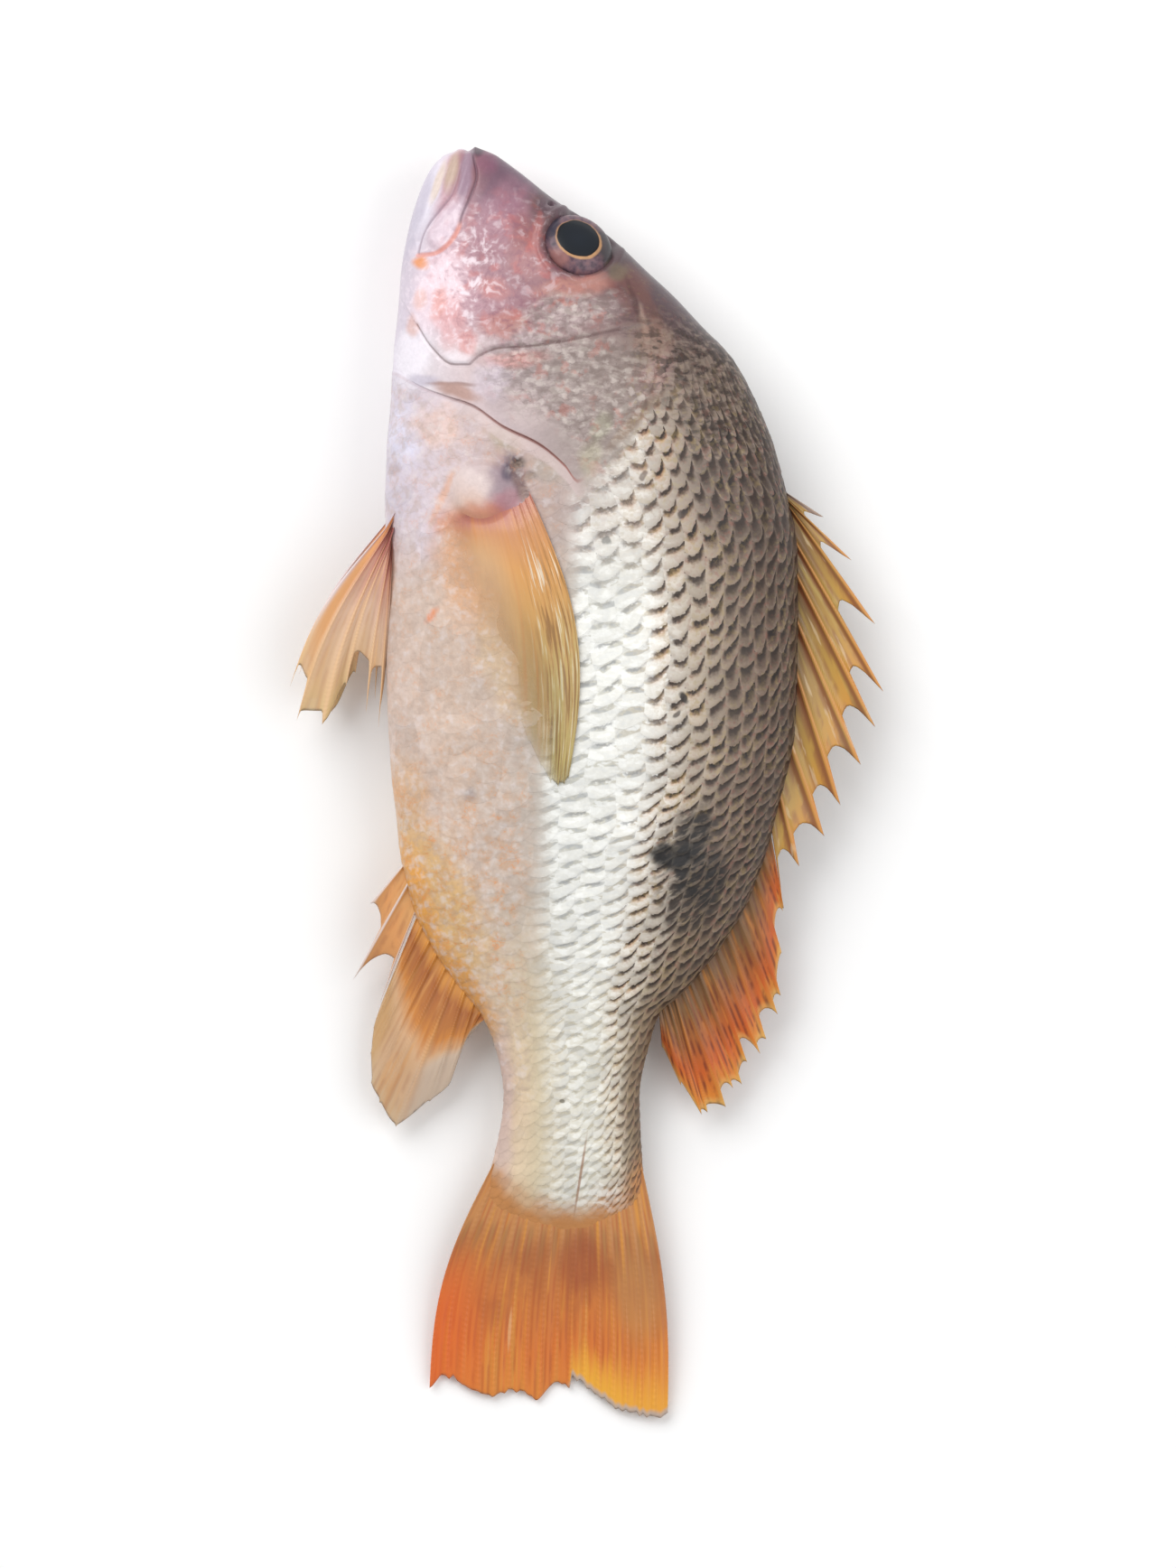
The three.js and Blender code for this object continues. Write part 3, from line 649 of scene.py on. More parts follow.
class Shade:
    """A value or a colour in a finish. Sums on it become nodes of that finish."""

    def __init__(self, socket):
        self.socket = socket

    def node(self, kind, settings, inputs, output=0):
        made = self.socket.id_data.nodes.new("ShaderNode" + kind)
        for key, value in settings.items():
            if key == "stops":
                elements = made.color_ramp.elements
                for _ in value[2:]:
                    elements.new(0.5)
                for stop, (at, colour) in zip(elements, value):
                    stop.position = at
                    stop.color = colour
            else:
                setattr(made, key, value)
        for key, value in inputs.items():
            if isinstance(value, Shade):
                made.id_data.links.new(value.socket, made.inputs[key])
            else:
                made.inputs[key].default_value = value
        return Shade(made.outputs[output])

    def math(self, operation, *values):
        return self.node("Math", {"operation": operation}, dict(enumerate(values)))

    def __add__(self, other):
        return self.math("ADD", self, other)

    def __sub__(self, other):
        return self.math("SUBTRACT", self, other)

    def __rsub__(self, other):
        return self.math("SUBTRACT", other, self)

    def __mul__(self, other):
        return self.math("MULTIPLY", self, other)

    def __truediv__(self, other):
        return self.math("DIVIDE", self, other)

    __radd__, __rmul__ = __add__, __mul__

    def between(self, low, high):
        """0 at low, 1 at high, and a smooth rise between, also where high is the smaller."""
        return self.node("MapRange", {"interpolation_type": "SMOOTHSTEP"},
                         {"Value": self, "From Min": low, "From Max": high})

    def mark(self, name):
        """The three values of one of the piece's own marks."""
        vector = self.node("Attribute", {"attribute_name": name}, {}, "Vector")
        return [self.node("SeparateXYZ", {}, {0: vector}, k) for k in range(3)]

    def vector(self, operation, *values, output=0):
        return self.node("VectorMath", {"operation": operation}, dict(enumerate(values)), output)

    def places(self, up=0):
        """Places on the piece in mm: across the body and behind the snout, and with up also high."""
        spot = self.node("TexCoord", {}, {}, "Object")
        return self.vector("MULTIPLY_ADD", spot, (1 / MM, -1 / MM, up / MM), (0, SNOUT, 0))

    def pair(self, other):
        """A place that lies this value across and the other along."""
        return self.node("CombineXYZ", {}, {0: self, 1: other})

    def chance(self):
        """A chance between 0 and 1 for each place."""
        return self.node("TexWhiteNoise", {"noise_dimensions": "3D"}, {"Vector": self}, "Value")

    def noise(self, where, size, detail=2.0):
        """Cloudy noise whose lumps are of a size in the units of where it is read."""
        return self.node("TexNoise", {}, {"Vector": where, "Scale": 1 / size, "Detail": detail})

    def wavy(self, size, swing):
        """These places with a waver on them, whose lumps and swing are in the same units."""
        other = self.noise(self.vector("ADD", self, (31, 17, 0)), size, 3.0)
        waver = self.noise(self, size, 3.0).pair(other)
        waver = self.vector("SUBTRACT", waver, (0.5, 0.5, 0))
        return self.vector("MULTIPLY_ADD", waver, (swing, swing, 0), self)

    def darker(self, share):
        """This colour times a share."""
        return self.node("HueSaturation", {}, {"Value": share, "Color": self})

    def cells(self, size):
        """Uneven cells of a size: the distance to their middles, and a chance for each."""
        settings = {"Vector": self, "Scale": 1 / size}
        spot = self.node("TexVoronoi", {}, settings, "Position")
        return self.node("TexVoronoi", {}, settings, "Distance"), spot.chance()

    def covered(self, tint, mask):
        """This colour with another over it, as far as the mask says."""
        colour = tint if isinstance(tint, Shade) else srgb(*tint)
        return self.node("Mix", {"data_type": "RGBA"}, {0: mask, 6: self, 7: colour}, 2)

    def ramp(self, *stops):
        """A colour between those of the stops, each a place and the colour there as the eye sees it."""
        return self.node("ValToRGB", {"stops": [(at, srgb(*tint)) for at, tint in stops]}, {0: self})

    def patch(self, x, behind, wide, long, turn=0, soft=0.45):
        """A soft oval spot round a place seen from above, turned by an angle in degrees."""
        inside = self.node("Mapping", {"vector_type": "TEXTURE"}, {
            "Vector": self, "Location": (x, behind, 0), "Rotation": (0, 0, math.radians(turn)),
            "Scale": (wide, long, 1)})
        return self.vector("LENGTH", inside, output="Value").between(1 + soft, 1 - soft)


def finish(name, *pieces):
    """A new finish on these pieces, as the socket that its shader goes to."""
    material = bpy.data.materials.new(name)
    material.use_nodes = True
    material.node_tree.nodes.clear()
    end = material.node_tree.nodes.new("ShaderNodeOutputMaterial")
    for piece in pieces:
        piece.data.materials.append(material)
    return Shade(end.inputs["Surface"])


def shine(end, colour, roughness, normal, **more):
    """Ends a finish with its glossy surface."""
    inputs = {"Base Color": colour, "Roughness": roughness, "Normal": normal}
    inputs.update({key.replace("_", " "): value for key, value in more.items()})
    surface = end.node("BsdfPrincipled", {}, inputs)
    end.socket.id_data.links.new(surface.socket, end.socket)


end = finish("fish_skin", head, trunk)
seen, solid = end.places(), end.places(up=1)
grain = end.noise(solid, 0.9, 3.0)
wet = end.noise(solid, 2.4, 2.0)
colour = end.node("Attribute", {"attribute_name": "ground"}, {}, "Color")

# blood under the face and breast, and pale flecks on the lower cheek painted as highlights of its wet skin
flaky, bloody, cheek_sheen = end.mark("head_zones")
blood = end.noise(solid, 3.2, 4.0)
fleck = end.noise(end.vector("ADD", solid.wavy(7.0, 6.0), (40, 9, 0)), 1.7, 4.0)
colour = colour.covered((226, 206, 212), fleck.between(0.5, 0.7) * bloody * 0.4)
colour = colour.covered((132, 84, 104), fleck.between(0.48, 0.32) * bloody * 0.45)
colour = colour.covered((206, 104, 92), blood.between(0.5, 0.7) * bloody * 0.35)
# pale flecks painted as highlights on the lower cheek
colour = colour.covered((255, 240, 248), fleck.between(0.46, 0.7) * cheek_sheen * 0.6)

# small uneven scales of the cheek, the gill cover and the shoulder
streaky = end.noise(end.vector("MULTIPLY", solid.wavy(5.0, 2.6), (0.45, 1, 0.7)), 1.5, 3.0)
from_middle, flake = solid.wavy(1.1, 2.2).cells(1.9)
colour = colour.covered((110, 94, 88), streaky.between(0.52, 0.38) * flaky * 0.34)
colour = colour.covered((216, 206, 196), streaky.between(0.5, 0.62) * flaky * 0.34)
bright = flake.between(0.6, 1.0) * from_middle.between(0.6, 0.2)
colour = colour.covered((222, 210, 202), bright * flaky * 0.4)
colour = colour.covered((104, 86, 78), from_middle.between(0.4, 0.75) * flaky * 0.35)
colour = colour.covered((182, 96, 80), blood.between(0.56, 0.68) * flaky * 0.35)
plates = 0.5 * from_middle.between(0.7, 0.3) * flaky

# the belly's soft small scales: an orange net round pearly middles
spotted, belly, netted = end.mark("body_zones")
colour = colour.covered((50, 39, 36), streaky.between(0.51, 0.42) * spotted * 0.8)
colour = colour.covered((160, 142, 128), streaky.between(0.52, 0.6) * spotted * 0.42)
lumps = end.noise(end.vector("ADD", solid, (70, 30, 0)), 2.2, 2.0)
threads = end.math("ABSOLUTE", lumps - 0.5).between(0.03, 0.0)
colour = colour.covered((190, 166, 152), lumps.between(0.5, 0.34) * belly * 0.35)
colour = colour.covered((230, 220, 220), lumps.between(0.52, 0.72) * belly * 0.4)
colour = colour.covered((204, 152, 100), netted * blood.between(0.42, 0.66) * 0.4)
threads = threads * blood.between(0.46, 0.62) * belly
colour = colour.covered((226, 146, 92), threads * (0.1 + 0.5 * netted))
pearl, _ = solid.wavy(3.0, 1.2).cells(2.3)
pearl = pearl.between(0.62, 0.2) * fleck.between(0.36, 0.6)
colour = colour.covered((224, 214, 208), pearl * netted * 0.5)
plates = plates + 0.9 * lumps * belly

# the overlapping scales: how high they lie, and how far a place is behind the edge of the next one
along, row, scaled = end.mark("scales")


def scale_in(k):
    """How far a place is off the middle of row k of scales, and how far past the edges there."""
    off = row - k
    return off, along - (ROW_SHIFT * k - off * (SCALE_ROUND * off + SCALE_TILT))


heights = []
for rounding in ("FLOOR", "CEIL"):
    off, past = scale_in(end.math(rounding, row))
    heights.append(end.math("FRACT", past) - SCALE_DOME * off * off)
k = end.math("ROUND", row)
off, past = scale_in(k)
behind_edge = end.math("FRACT", past)
chance = k.pair(end.math("FLOOR", past)).chance()
brown, deep, silver = end.mark("scale_zones")
plates = plates + end.math("MAXIMUM", *heights) * scaled * (1 - 0.8 * belly) * (1 - 0.4 * silver)
behind_edge = behind_edge + (grain - 0.5) * 0.4
# an oval in the middle of the scale, slanted like its edge
down = end.math("FRACT", along - ROW_SHIFT * k + SCALE_TILT * off + 0.2) - 0.5
beside_it = (off + 0.3 * down + (wet - 0.5) * 0.4) / 0.4

# the large scales: dark pockets on the back, partly their pigment and partly painted shade, and on the
# silver band painted glints and painted grey shade
# painted soft grey shade and painted white highlights in streaks on the silver band
colour = colour.covered((186, 190, 194), silver * streaky.between(0.5, 0.38) * 0.6)
colour = colour.covered((254, 255, 252), silver * streaky.between(0.5, 0.62) * 0.85)
speck = end.noise(end.vector("ADD", solid, (13, 50, 0)), 1.4, 4.0)
colour = colour.covered((140, 88, 74), brown * speck.between(0.54, 0.66) * 0.5)
colour = colour.covered((156, 138, 92), brown * speck.between(0.45, 0.34) * (0.6 - 0.3 * deep))
middle = (beside_it * beside_it).between(1.5, 0.4)
start = behind_edge.between(0.0, 0.08) * middle
# painted shade in a grey dash under the free edge of the scale before, on the silver band
dash_shade = start * behind_edge.between(0.3, 0.1)
colour = colour.covered((150, 150, 150), silver * dash_shade * chance.between(0.1, 0.6) * scaled * 0.7)
tall = (down + 0.14) / 0.13
# the painted glint: a highlight on the oval middle of each scale, white on the silver band and beige on the
# back
oval = beside_it * beside_it + tall * tall
glint = oval.between(1.0, 2.6) * end.math("MINIMUM", 1, 0.6 + behind_edge)
colour = colour.covered((255, 255, 250), silver * glint * scaled * 0.7)
in_scale = brown * scaled
colour = colour.covered((204, 190, 172), in_scale * glint * (1 - deep) * 0.45)
rusty = start * behind_edge.between(0.6, 0.3) * (1 - deep) * chance
colour = colour.covered((200, 150, 100), in_scale * rusty * 0.6)
colour = colour.covered((166, 148, 132), in_scale * behind_edge.between(0.7, 1.0) * (0.4 - 0.15 * deep))
# the dark pockets behind each free edge: the scale's own dark pigment, and painted shade under the edge of
# the scale before it
colour = colour.covered((68, 50, 40), in_scale * start * behind_edge.between(0.4 + 0.6 * deep, 0.16) * 0.9)
colour = colour.covered((20, 13, 10), in_scale * start * behind_edge.between(0.26 + 0.44 * deep, 0.08)
                        * (0.4 + 0.6 * chance))
mossy = speck.between(0.52, 0.4) * chance.between(0.35, 0.7)
colour = colour.covered((160, 134, 84), in_scale * mossy * (0.3 - 0.15 * deep))
in_pocket = behind_edge.between(0.0, 0.12) * behind_edge.between(0.95, 0.75) * middle
slanted = end.node("Mapping", {"vector_type": "TEXTURE"}, {
    "Vector": solid, "Rotation": (0, 0, math.radians(-28)), "Scale": (3.6, 1, 2)})
in_pocket = (0.25 + 0.75 * in_pocket) * end.noise(slanted, 1.0, 3.0).between(0.38, 0.56)

# marks over the scales: the blotch by the tail and single dark dots
# across, behind, half width, half length, turn, colour, strength, how far only in the pockets
SCALE_MARKS = [
    (24.8, 169.0, 9.0, 14.0, 12, (64, 53, 46), 0.8, 0.75),
    (24.0, 178.0, 5.6, 6.5, 20, (52, 43, 38), 0.85, 0.75),
    (26.0, 160.4, 5.0, 3.4, -30, (32, 27, 26), 0.95, 0.5),
    (26.4, 170.5, 6.0, 7.0, 10, (30, 27, 27), 0.95, 0.6),
    (20.4, 166.4, 5.4, 3.8, -12, (20, 18, 20), 0.98, 0.1),
    (22.9, 129.8, 0.9, 1.3, 0, (40, 32, 28), 0.95, 0.0),
    (21.4, 134.0, 0.8, 0.8, 0, (72, 62, 56), 0.8, 0.0),
    (22.6, 86.0, 0.8, 1.2, 0, (62, 52, 50), 0.8, 0.0),
    (13.4, 77.6, 1.0, 1.0, 0, (96, 78, 70), 0.7, 0.0),
    (-5.6, 224.4, 0.7, 0.8, 0, (110, 104, 92), 0.8, 0.0),
    (5.0, 93.0, 1.2, 1.0, 0, (120, 120, 118), 0.7, 0.0),
]
seen_wavy = seen.wavy(7.0, 6.0)
for x, behind, wide, long, turn, tint, strength, in_pockets in SCALE_MARKS:
    mask = seen_wavy.patch(x, behind, wide, long, turn, 0.3) * strength
    colour = colour.covered(tint, mask * (1 - in_pockets * (1 - in_pocket)))
cloud = end.noise(solid, 9.0, 3.0)
shade = 0.85 + 0.16 * cloud + scaled * (chance - 0.5) * (0.12 + 0.16 * brown) + (grain - 0.5) * 0.2
colour = colour.darker(shade)

# lines: the closed mouth, the fold over the upper jaw, the cheek and the gill opening
place, gap, tail_ward = end.mark("layout")
mouth, fold, cheek = end.mark("lines")
on_head = gap.between(-0.2, -0.6)
lower = 0.15 + 0.35 * tail_ward.between(8, 14)
colour = colour.covered((136, 110, 126), mouth.between(0.45, 0.1) * on_head * lower)
upper = tail_ward.between(19.5, 17.5) * tail_ward.between(0, 3)
colour = colour.covered((90, 62, 78), fold.between(0.45, 0.1) * upper * 0.6)
colour = colour.covered((222, 128, 98), fold.between(0.8, 0.2) * tail_ward.between(17, 19.5) * 0.6)
colour = colour.covered((112, 84, 84), cheek.between(0.4, 0.1) * 0.5)
open_edge = place.between(0.02, -0.08)
strip = gap.between(4.4, 3.4) * gap.between(0.0, 0.8) * open_edge * place.between(-0.7, -0.5)
colour = colour.covered((206, 186, 184), strip * 0.6)
slit = end.math("ABSOLUTE", gap - 0.3).between(0.65, 0.15) * open_edge
colour = colour.covered((150, 84, 74), slit * (0.15 + 0.6 * place.between(-0.75, -0.42)))
colour = colour.covered((150, 104, 72), seen.patch(-1.4, 242.0, 0.3, 8.5, 9, 0.5) * 0.75)

roughness = 0.32 + 0.16 * wet + 0.14 * brown * scaled
relief = plates + 0.15 * end.noise(solid, 0.55, 2.0) + 0.4 * wet
bumps = end.node("Bump", {}, {"Strength": 0.9, "Distance": 0.0003, "Height": relief})
shine(end, colour, roughness, bumps, Metallic=0.12 * silver, Specular_IOR_Level=0.35, Coat_Weight=0.2,
      Coat_Roughness=0.12)


# ------------------------------------------------------------------------------------------- eyes
# A pair of round eyes in sockets of the skull: a clear wet dome over a wide dark pupil, a thin
# golden ring and a purple rim. Each is pressed into its socket and held by the skin round it.
EYE_RADII = (8.4, 7.7, 3.5)
EYE_SUNK = 1.9  # how far the middle of the eyeball lies under the skin
PUPIL = (-1.87, 21.75)
PUPIL_RADII = (5.25, 4.1)
PUPIL_TURN = 25
# across, behind, half width, half length, turn, colour, strength: patches on the purple rim; the first two
# are painted shade on its upper left and right, the others its own tints
RIM_SHADE_AND_TINTS = [
    (-8.2, 19.0, 1.8, 3.2, 20, (46, 50, 64), 0.8), (5.4, 24.4, 2.6, 5.5, -30, (62, 62, 64), 0.85),
    (6.6, 28.2, 2.2, 1.6, -20, (104, 98, 66), 0.6), (-6.4, 26.2, 2.4, 2.0, 30, (164, 112, 104), 0.6),
]


def eyeball(name, way):
    """An eyeball in the left (1) or right (-1) socket, squared to the skin there."""
    turn = flank_turn(*EYE)
    around = flesh(np.array([EYE[1] - 1, EYE[1] + 1])[:, None], np.array([turn - 0.03, turn + 0.03]))
    outwards = Vector(np.cross(around[1, 1] - around[0, 0], around[0, 1] - around[1, 0])).normalized()
    if outwards.z < 0:
        outwards = -outwards
    spot = Vector(flesh(EYE[1], turn))
    if way < 0:
        outwards.z = -outwards.z
        spot.z = 2 * float(middle_height(EYE[1])) - spot.z
    bm = bmesh.new()
    bmesh.ops.create_uvsphere(bm, u_segments=72, v_segments=48, radius=1)
    squared = outwards.to_track_quat("Z", "Y").to_matrix().to_4x4()
    place = Matrix.Translation((spot - outwards * EYE_SUNK) * MM)
    bmesh.ops.transform(bm, verts=bm.verts,
                        matrix=place @ squared @ Matrix.Diagonal((*(r * MM for r in EYE_RADII), 1)))
    piece = grown(bm, bpy.data.meshes.new(name))
    return piece


end = finish("eye", eyeball("left_eye", 1), eyeball("right_eye", -1))
seen = end.places()
inside = end.node("Mapping", {"vector_type": "TEXTURE"}, {
    "Vector": seen.wavy(2.5, 0.5), "Location": (*PUPIL, 0), "Rotation": (0, 0, math.radians(PUPIL_TURN)),
    "Scale": (*PUPIL_RADII, 1)})
out = end.vector("LENGTH", inside, output="Value")
lower_right = end.vector("DOT_PRODUCT", inside, (0.5, 0.8, 0), output="Value")
rim = end.noise(seen, 1.6, 3.0)
outer = rim.ramp((0.3, (72, 56, 68)), (0.5, (106, 82, 92)), (0.72, (132, 98, 100)))
# the rim's painted shade and its own tints
for *rim_spot, tint, strength in RIM_SHADE_AND_TINTS:
    outer = outer.covered(tint, seen.patch(*rim_spot) * strength)
colour = out.ramp((0, (32, 37, 45)), (0.85, (28, 32, 38)), (0.97, (24, 24, 28)), (1, (110, 80, 62)))
colour = colour.covered(outer, out.between(0.98, 1.03))
ring = out.between(0.97, 1.01) * (out - 0.07 * lower_right).between(1.12, 1.03)
colour = colour.covered((196, 150, 106), ring * (0.25 + 0.25 * lower_right + 0.75 * rim))
dome = end.node("Bump", {}, {"Strength": 0.4, "Distance": 0.0002, "Height": rim * out.between(1.0, 1.2)})
shine(end, colour, 0.3, dome, Specular_IOR_Level=0.2, Coat_Weight=0.2, Coat_Roughness=0.04)


# ------------------------------------------------------------------------------------------- fins
# Thin skin stretched over bony rays that are rooted in the flesh along the back and the belly. In
# the front of the back and anal fins the rays are hard spines with free sharp tips.
RAY_WIDTH = 0.12  # half the width of a ray, in parts of the gap between rays
BRANCH_WIDTH = 0.26  # how far off its middle a ray's branches end, in the same parts
EDGE_ROUND = 0.06  # how soon behind its first ray a fin has its full thickness, in the same parts
TABLE_GAP = 0.05  # least height over the table


def fin(name, rays, per_gap, rows, margin, height, thick, bow=None, sunk=4.0, fork=0.0, fade=None):
    """A fin from its rays (root and tip, across and behind, each in mm), as a net with per_gap
    columns between two rays. margin is how much of the length the skin reaches between rays,
    height gives its middle, and thick is the ray's half thickness at the root and at the tip, and
    that of the skin. bow bends the rays aside, sunk is how deep they are rooted in the flesh, fork
    is how far they branch, and fade is how much of its ridge each ray has."""
    rays = np.array(rays, float)
    last = len(rays) - 1
    within = (1 - np.cos(np.pi * np.arange(per_gap) / per_gap)) / 2
    there = np.append((np.arange(last)[:, None] + within).ravel(), last)
    ray = np.concatenate([there, there[-2::-1]])
    way = np.concatenate([np.ones(len(there)), -np.ones(len(there) - 1)])
    numbers = np.arange(len(rays))
    root_x, root_behind, tip_x, tip_behind = (
        through(np.column_stack([numbers, rays[:, k]]))(ray) for k in range(4))
    wide, deep = tip_x - root_x, tip_behind - root_behind
    length = np.hypot(wide, deep)
    v = np.linspace(0, 1, rows + 1)[:, None]
    full = margin(ray)
    reach = -sunk / length + v * (full + sunk / length)
    x, behind = root_x + wide * reach, root_behind + deep * reach
    if bow:
        swing = bow(ray) * np.sin(np.pi * np.clip(reach, 0, 1) ** 1.1)
        x, behind = x + swing * deep / length, behind - swing * wide / length
    middle = height(ray, np.maximum(reach, 0), x, behind)
    off = np.abs(ray - np.rint(ray))
    ridge = hump(off - fork * rise(reach, 0.35, 1) * BRANCH_WIDTH, RAY_WIDTH)
    if fade:
        ridge = ridge * fade(ray)
    end = np.clip(reach, 0, 1)
    half = thick[2] + (thick[0] + (thick[1] - thick[0]) * end - thick[2]) * ridge
    closing = np.sqrt(1 - v**10) * rise(v, 0, 0.02)
    outer = np.sqrt(np.clip(np.minimum(ray, last - ray) / EDGE_ROUND, 0, 1))
    z = np.maximum(middle + way * half * closing * outer, TABLE_GAP)
    net = np.stack(np.broadcast_arrays(x, SNOUT - behind, z), -1)
    piece = sleeve(name, net, {"fin": (ray, reach, (full - reach) * length)})
    return piece


def notched(notches, free):
    """A margin that leaves each spine just under its tip and falls to a notch at the next one.
    notches are the lengths left there, and free is how little the skin falls near the spine."""
    def margin(ray):
        number = np.clip(np.floor(ray).astype(int), 0, len(notches) - 1)
        low = np.array(notches)[number]
        part = ray - number
        fall = through([(0, 1), (0.08, free), (0.3, free * 0.45), (0.62, 0.05), (0.9, 0), (1, 0)])
        skin = low + (1 - low) * fall(part)
        return np.where(part > 0.9, skin + (1 - skin) * (part - 0.9) * 10, skin)
    return margin


def drooping(sag, swell=0.0, by_ray=0.0, by_reach=0.0):
    """Heights of a fin that droops towards its tips from the middle of the body, in slow waves."""
    def height(ray, reach, x, behind):
        return middle_height(behind) - sag * reach**2 + swell * np.sin(by_ray * ray + by_reach * reach)
    return height


def fin_colour(end, stops, streak, streak_strength, line, line_strength, ragged=0.35, smooth=99):
    """Colour of a fin: stops along its rays, streaks in the skin, and dark lines beside the rays,
    which don't show past the ray where the fin turns smooth."""
    ray, reach, gap = end.mark("fin")
    spot = (ray * 2.2).pair(reach * 1.6)
    streaks = end.noise(spot, 0.9, 4.0)
    wavy = reach + (streaks - 0.5) * ragged
    colour = wavy.ramp(*stops)
    colour = colour.covered(streak, streaks.between(0.5, 0.7) * streak_strength)
    off = end.math("ABSOLUTE", ray - end.math("ROUND", ray))
    broken = end.noise((ray * 1.3).pair(reach * 6), 1.0, 3.0)
    groove = off.between(0.14, 0.3) * off.between(0.46, 0.34) * broken.between(0.38, 0.6)
    ribbed = ray.between(smooth, smooth - 2.5)
    groove = groove * reach.between(-0.15, 0.35) * ribbed
    colour = colour.covered(line, groove * line_strength)
    joints = end.math("SINE", reach * 260)
    ribs = off.between(0.3, 0.05) * ribbed
    bumps = end.node("Bump", {}, {"Strength": 0.5, "Distance": 0.0003,
                                  "Height": ribs + 0.12 * ribs * joints + 0.3 * streaks})
    return colour, bumps, ray, reach, gap, off


def broken_light(end, ray, reach):
    """Thin pale streaks along the rays of a fin, painted as highlights on its wet skin."""
    spot = (ray * 4 + 9).pair(reach * 3)
    return end.noise(spot, 1.0, 3.0).between(0.6, 0.68)


# The spiny back fin: ten hard sharp spines, and a thin skin that is notched behind each of them.
SPINES = [
    (46.9, 81.0, 55.8, 86.8), (48.4, 84.0, 62.4, 97.0), (50.3, 88.0, 67.9, 112.0),
    (50.9, 95.7, 69.9, 127.9), (50.7, 102.9, 68.0, 136.3), (50.3, 113.1, 64.6, 145.1),
    (49.6, 124.1, 59.8, 154.6), (46.9, 136.8, 56.0, 161.9), (44.8, 149.2, 50.1, 169.0),
    (43.1, 157.4, 46.3, 178.6),
]
spiny = fin(
    "spiny_back_fin", SPINES, 14, 60,
    notched([0.24, 0.29, 0.44, 0.64, 0.67, 0.66, 0.65, 0.66, 0.5], 0.82),
    lambda ray, reach, x, behind: middle_height(behind) - 2.6 * reach**2
    + 0.5 * np.cos(np.pi * ray) * reach + 0.3 * np.sin(2.1 * ray + 4 * reach),
    (1.05, 0.35, 0.28), sunk=6.0)
end = finish("spiny_fin_skin", spiny)
colour, bumps, ray, reach, gap, off = fin_colour(
    end, [(0.0, (122, 92, 52)), (0.2, (158, 122, 58)), (0.45, (182, 140, 58)), (0.7, (202, 142, 54)),
          (1.0, (214, 154, 78))], (174, 148, 76), 0.7, (128, 70, 44), 0.5)
part = end.math("FRACT", ray)
colour = colour.covered((118, 56, 34), part.between(0.04, 0.14) * part.between(0.36, 0.18) * 0.75)
colour = colour.covered((212, 144, 76), off.between(0.1, 0.03) * 0.6)
colour = colour.covered((214, 132, 50), part.between(0.5, 0.9) * reach.between(0.5, 0.8) * 0.5)
# painted highlights in thin wet streaks along the spines
colour = colour.covered((232, 208, 172), broken_light(end, ray, reach) * 0.35)
colour = colour.covered((150, 138, 134), ray.between(0.5, 0.1) * 0.7)
shine(end, colour, 0.36, bumps, Coat_Weight=0.3, Coat_Roughness=0.2)

# The soft back fin: branched rays behind the spines, folded back towards the tail.
SOFT_RAYS = [
    (43.1, 159.5, 46.5, 178.9), (41.0, 165.6, 46.3, 179.6), (39.6, 171.0, 46.0, 189.2),
    (38.2, 176.6, 45.8, 199.4), (36.0, 181.6, 45.1, 203.9), (33.2, 185.4, 42.4, 209.7),
    (30.8, 188.8, 41.0, 213.2), (28.6, 191.6, 37.9, 215.1), (26.5, 194.2, 36.7, 220.4),
    (24.6, 196.5, 34.6, 221.3), (22.7, 198.6, 32.9, 225.7), (21.0, 200.5, 28.6, 227.0),
    (19.5, 202.0, 27.2, 227.5), (18.2, 203.4, 22.3, 220.6), (17.2, 204.4, 17.8, 211.5),
]
soft = fin(
    "soft_back_fin", SOFT_RAYS, 10, 56,
    notched([0.97, 0.72, 0.86, 0.86, 0.78, 0.9, 0.78, 0.9, 0.93, 0.85, 0.93, 0.95, 0.9, 0.92], 0.8),
    drooping(2.4, 0.35, 1.9, 3), (0.6, 0.28, 0.36), sunk=6.0, fork=1.0)
end = finish("soft_fin_skin", soft)
colour, bumps, ray, reach, gap, off = fin_colour(
    end, [(0.0, (116, 86, 58)), (0.16, (132, 92, 52)), (0.38, (160, 92, 44)), (0.66, (196, 92, 34)),
          (0.88, (214, 130, 46)), (1.0, (222, 172, 88))], (192, 124, 56), 0.6, (104, 42, 26), 0.75, 0.55)
colour = colour.covered((226, 178, 104), gap.between(2.2, 0.2) * 0.5)
shine(end, colour, 0.42, bumps, Specular_IOR_Level=0.35, Coat_Weight=0.12, Coat_Roughness=0.2)

# The anal spines: three stout spines behind the vent, in a short skin of their own.
ANAL_SPINES = [(-42.6, 168.0, -50.8, 177.7), (-41.6, 172.5, -55.0, 195.9), (-40.0, 179.5, -48.5, 201.0)]
anal_spiny = fin(
    "anal_spines", ANAL_SPINES, 18, 48, notched([0.5, 0.55], 0.7),
    drooping(2.5), (1.25, 0.45, 0.35), sunk=5.0)
end = finish("anal_spine_skin", anal_spiny)
colour, bumps, ray, reach, gap, off = fin_colour(
    end, [(0.0, (214, 160, 100)), (0.35, (214, 150, 92)), (0.75, (196, 138, 84)), (1.0, (190, 176, 160))],
    (226, 150, 80), 0.5, (150, 92, 60), 0.4)
colour = colour.covered((222, 204, 196), off.between(0.1, 0.03) * 0.9)
shine(end, colour, 0.34, bumps, Coat_Weight=0.3, Coat_Roughness=0.18)

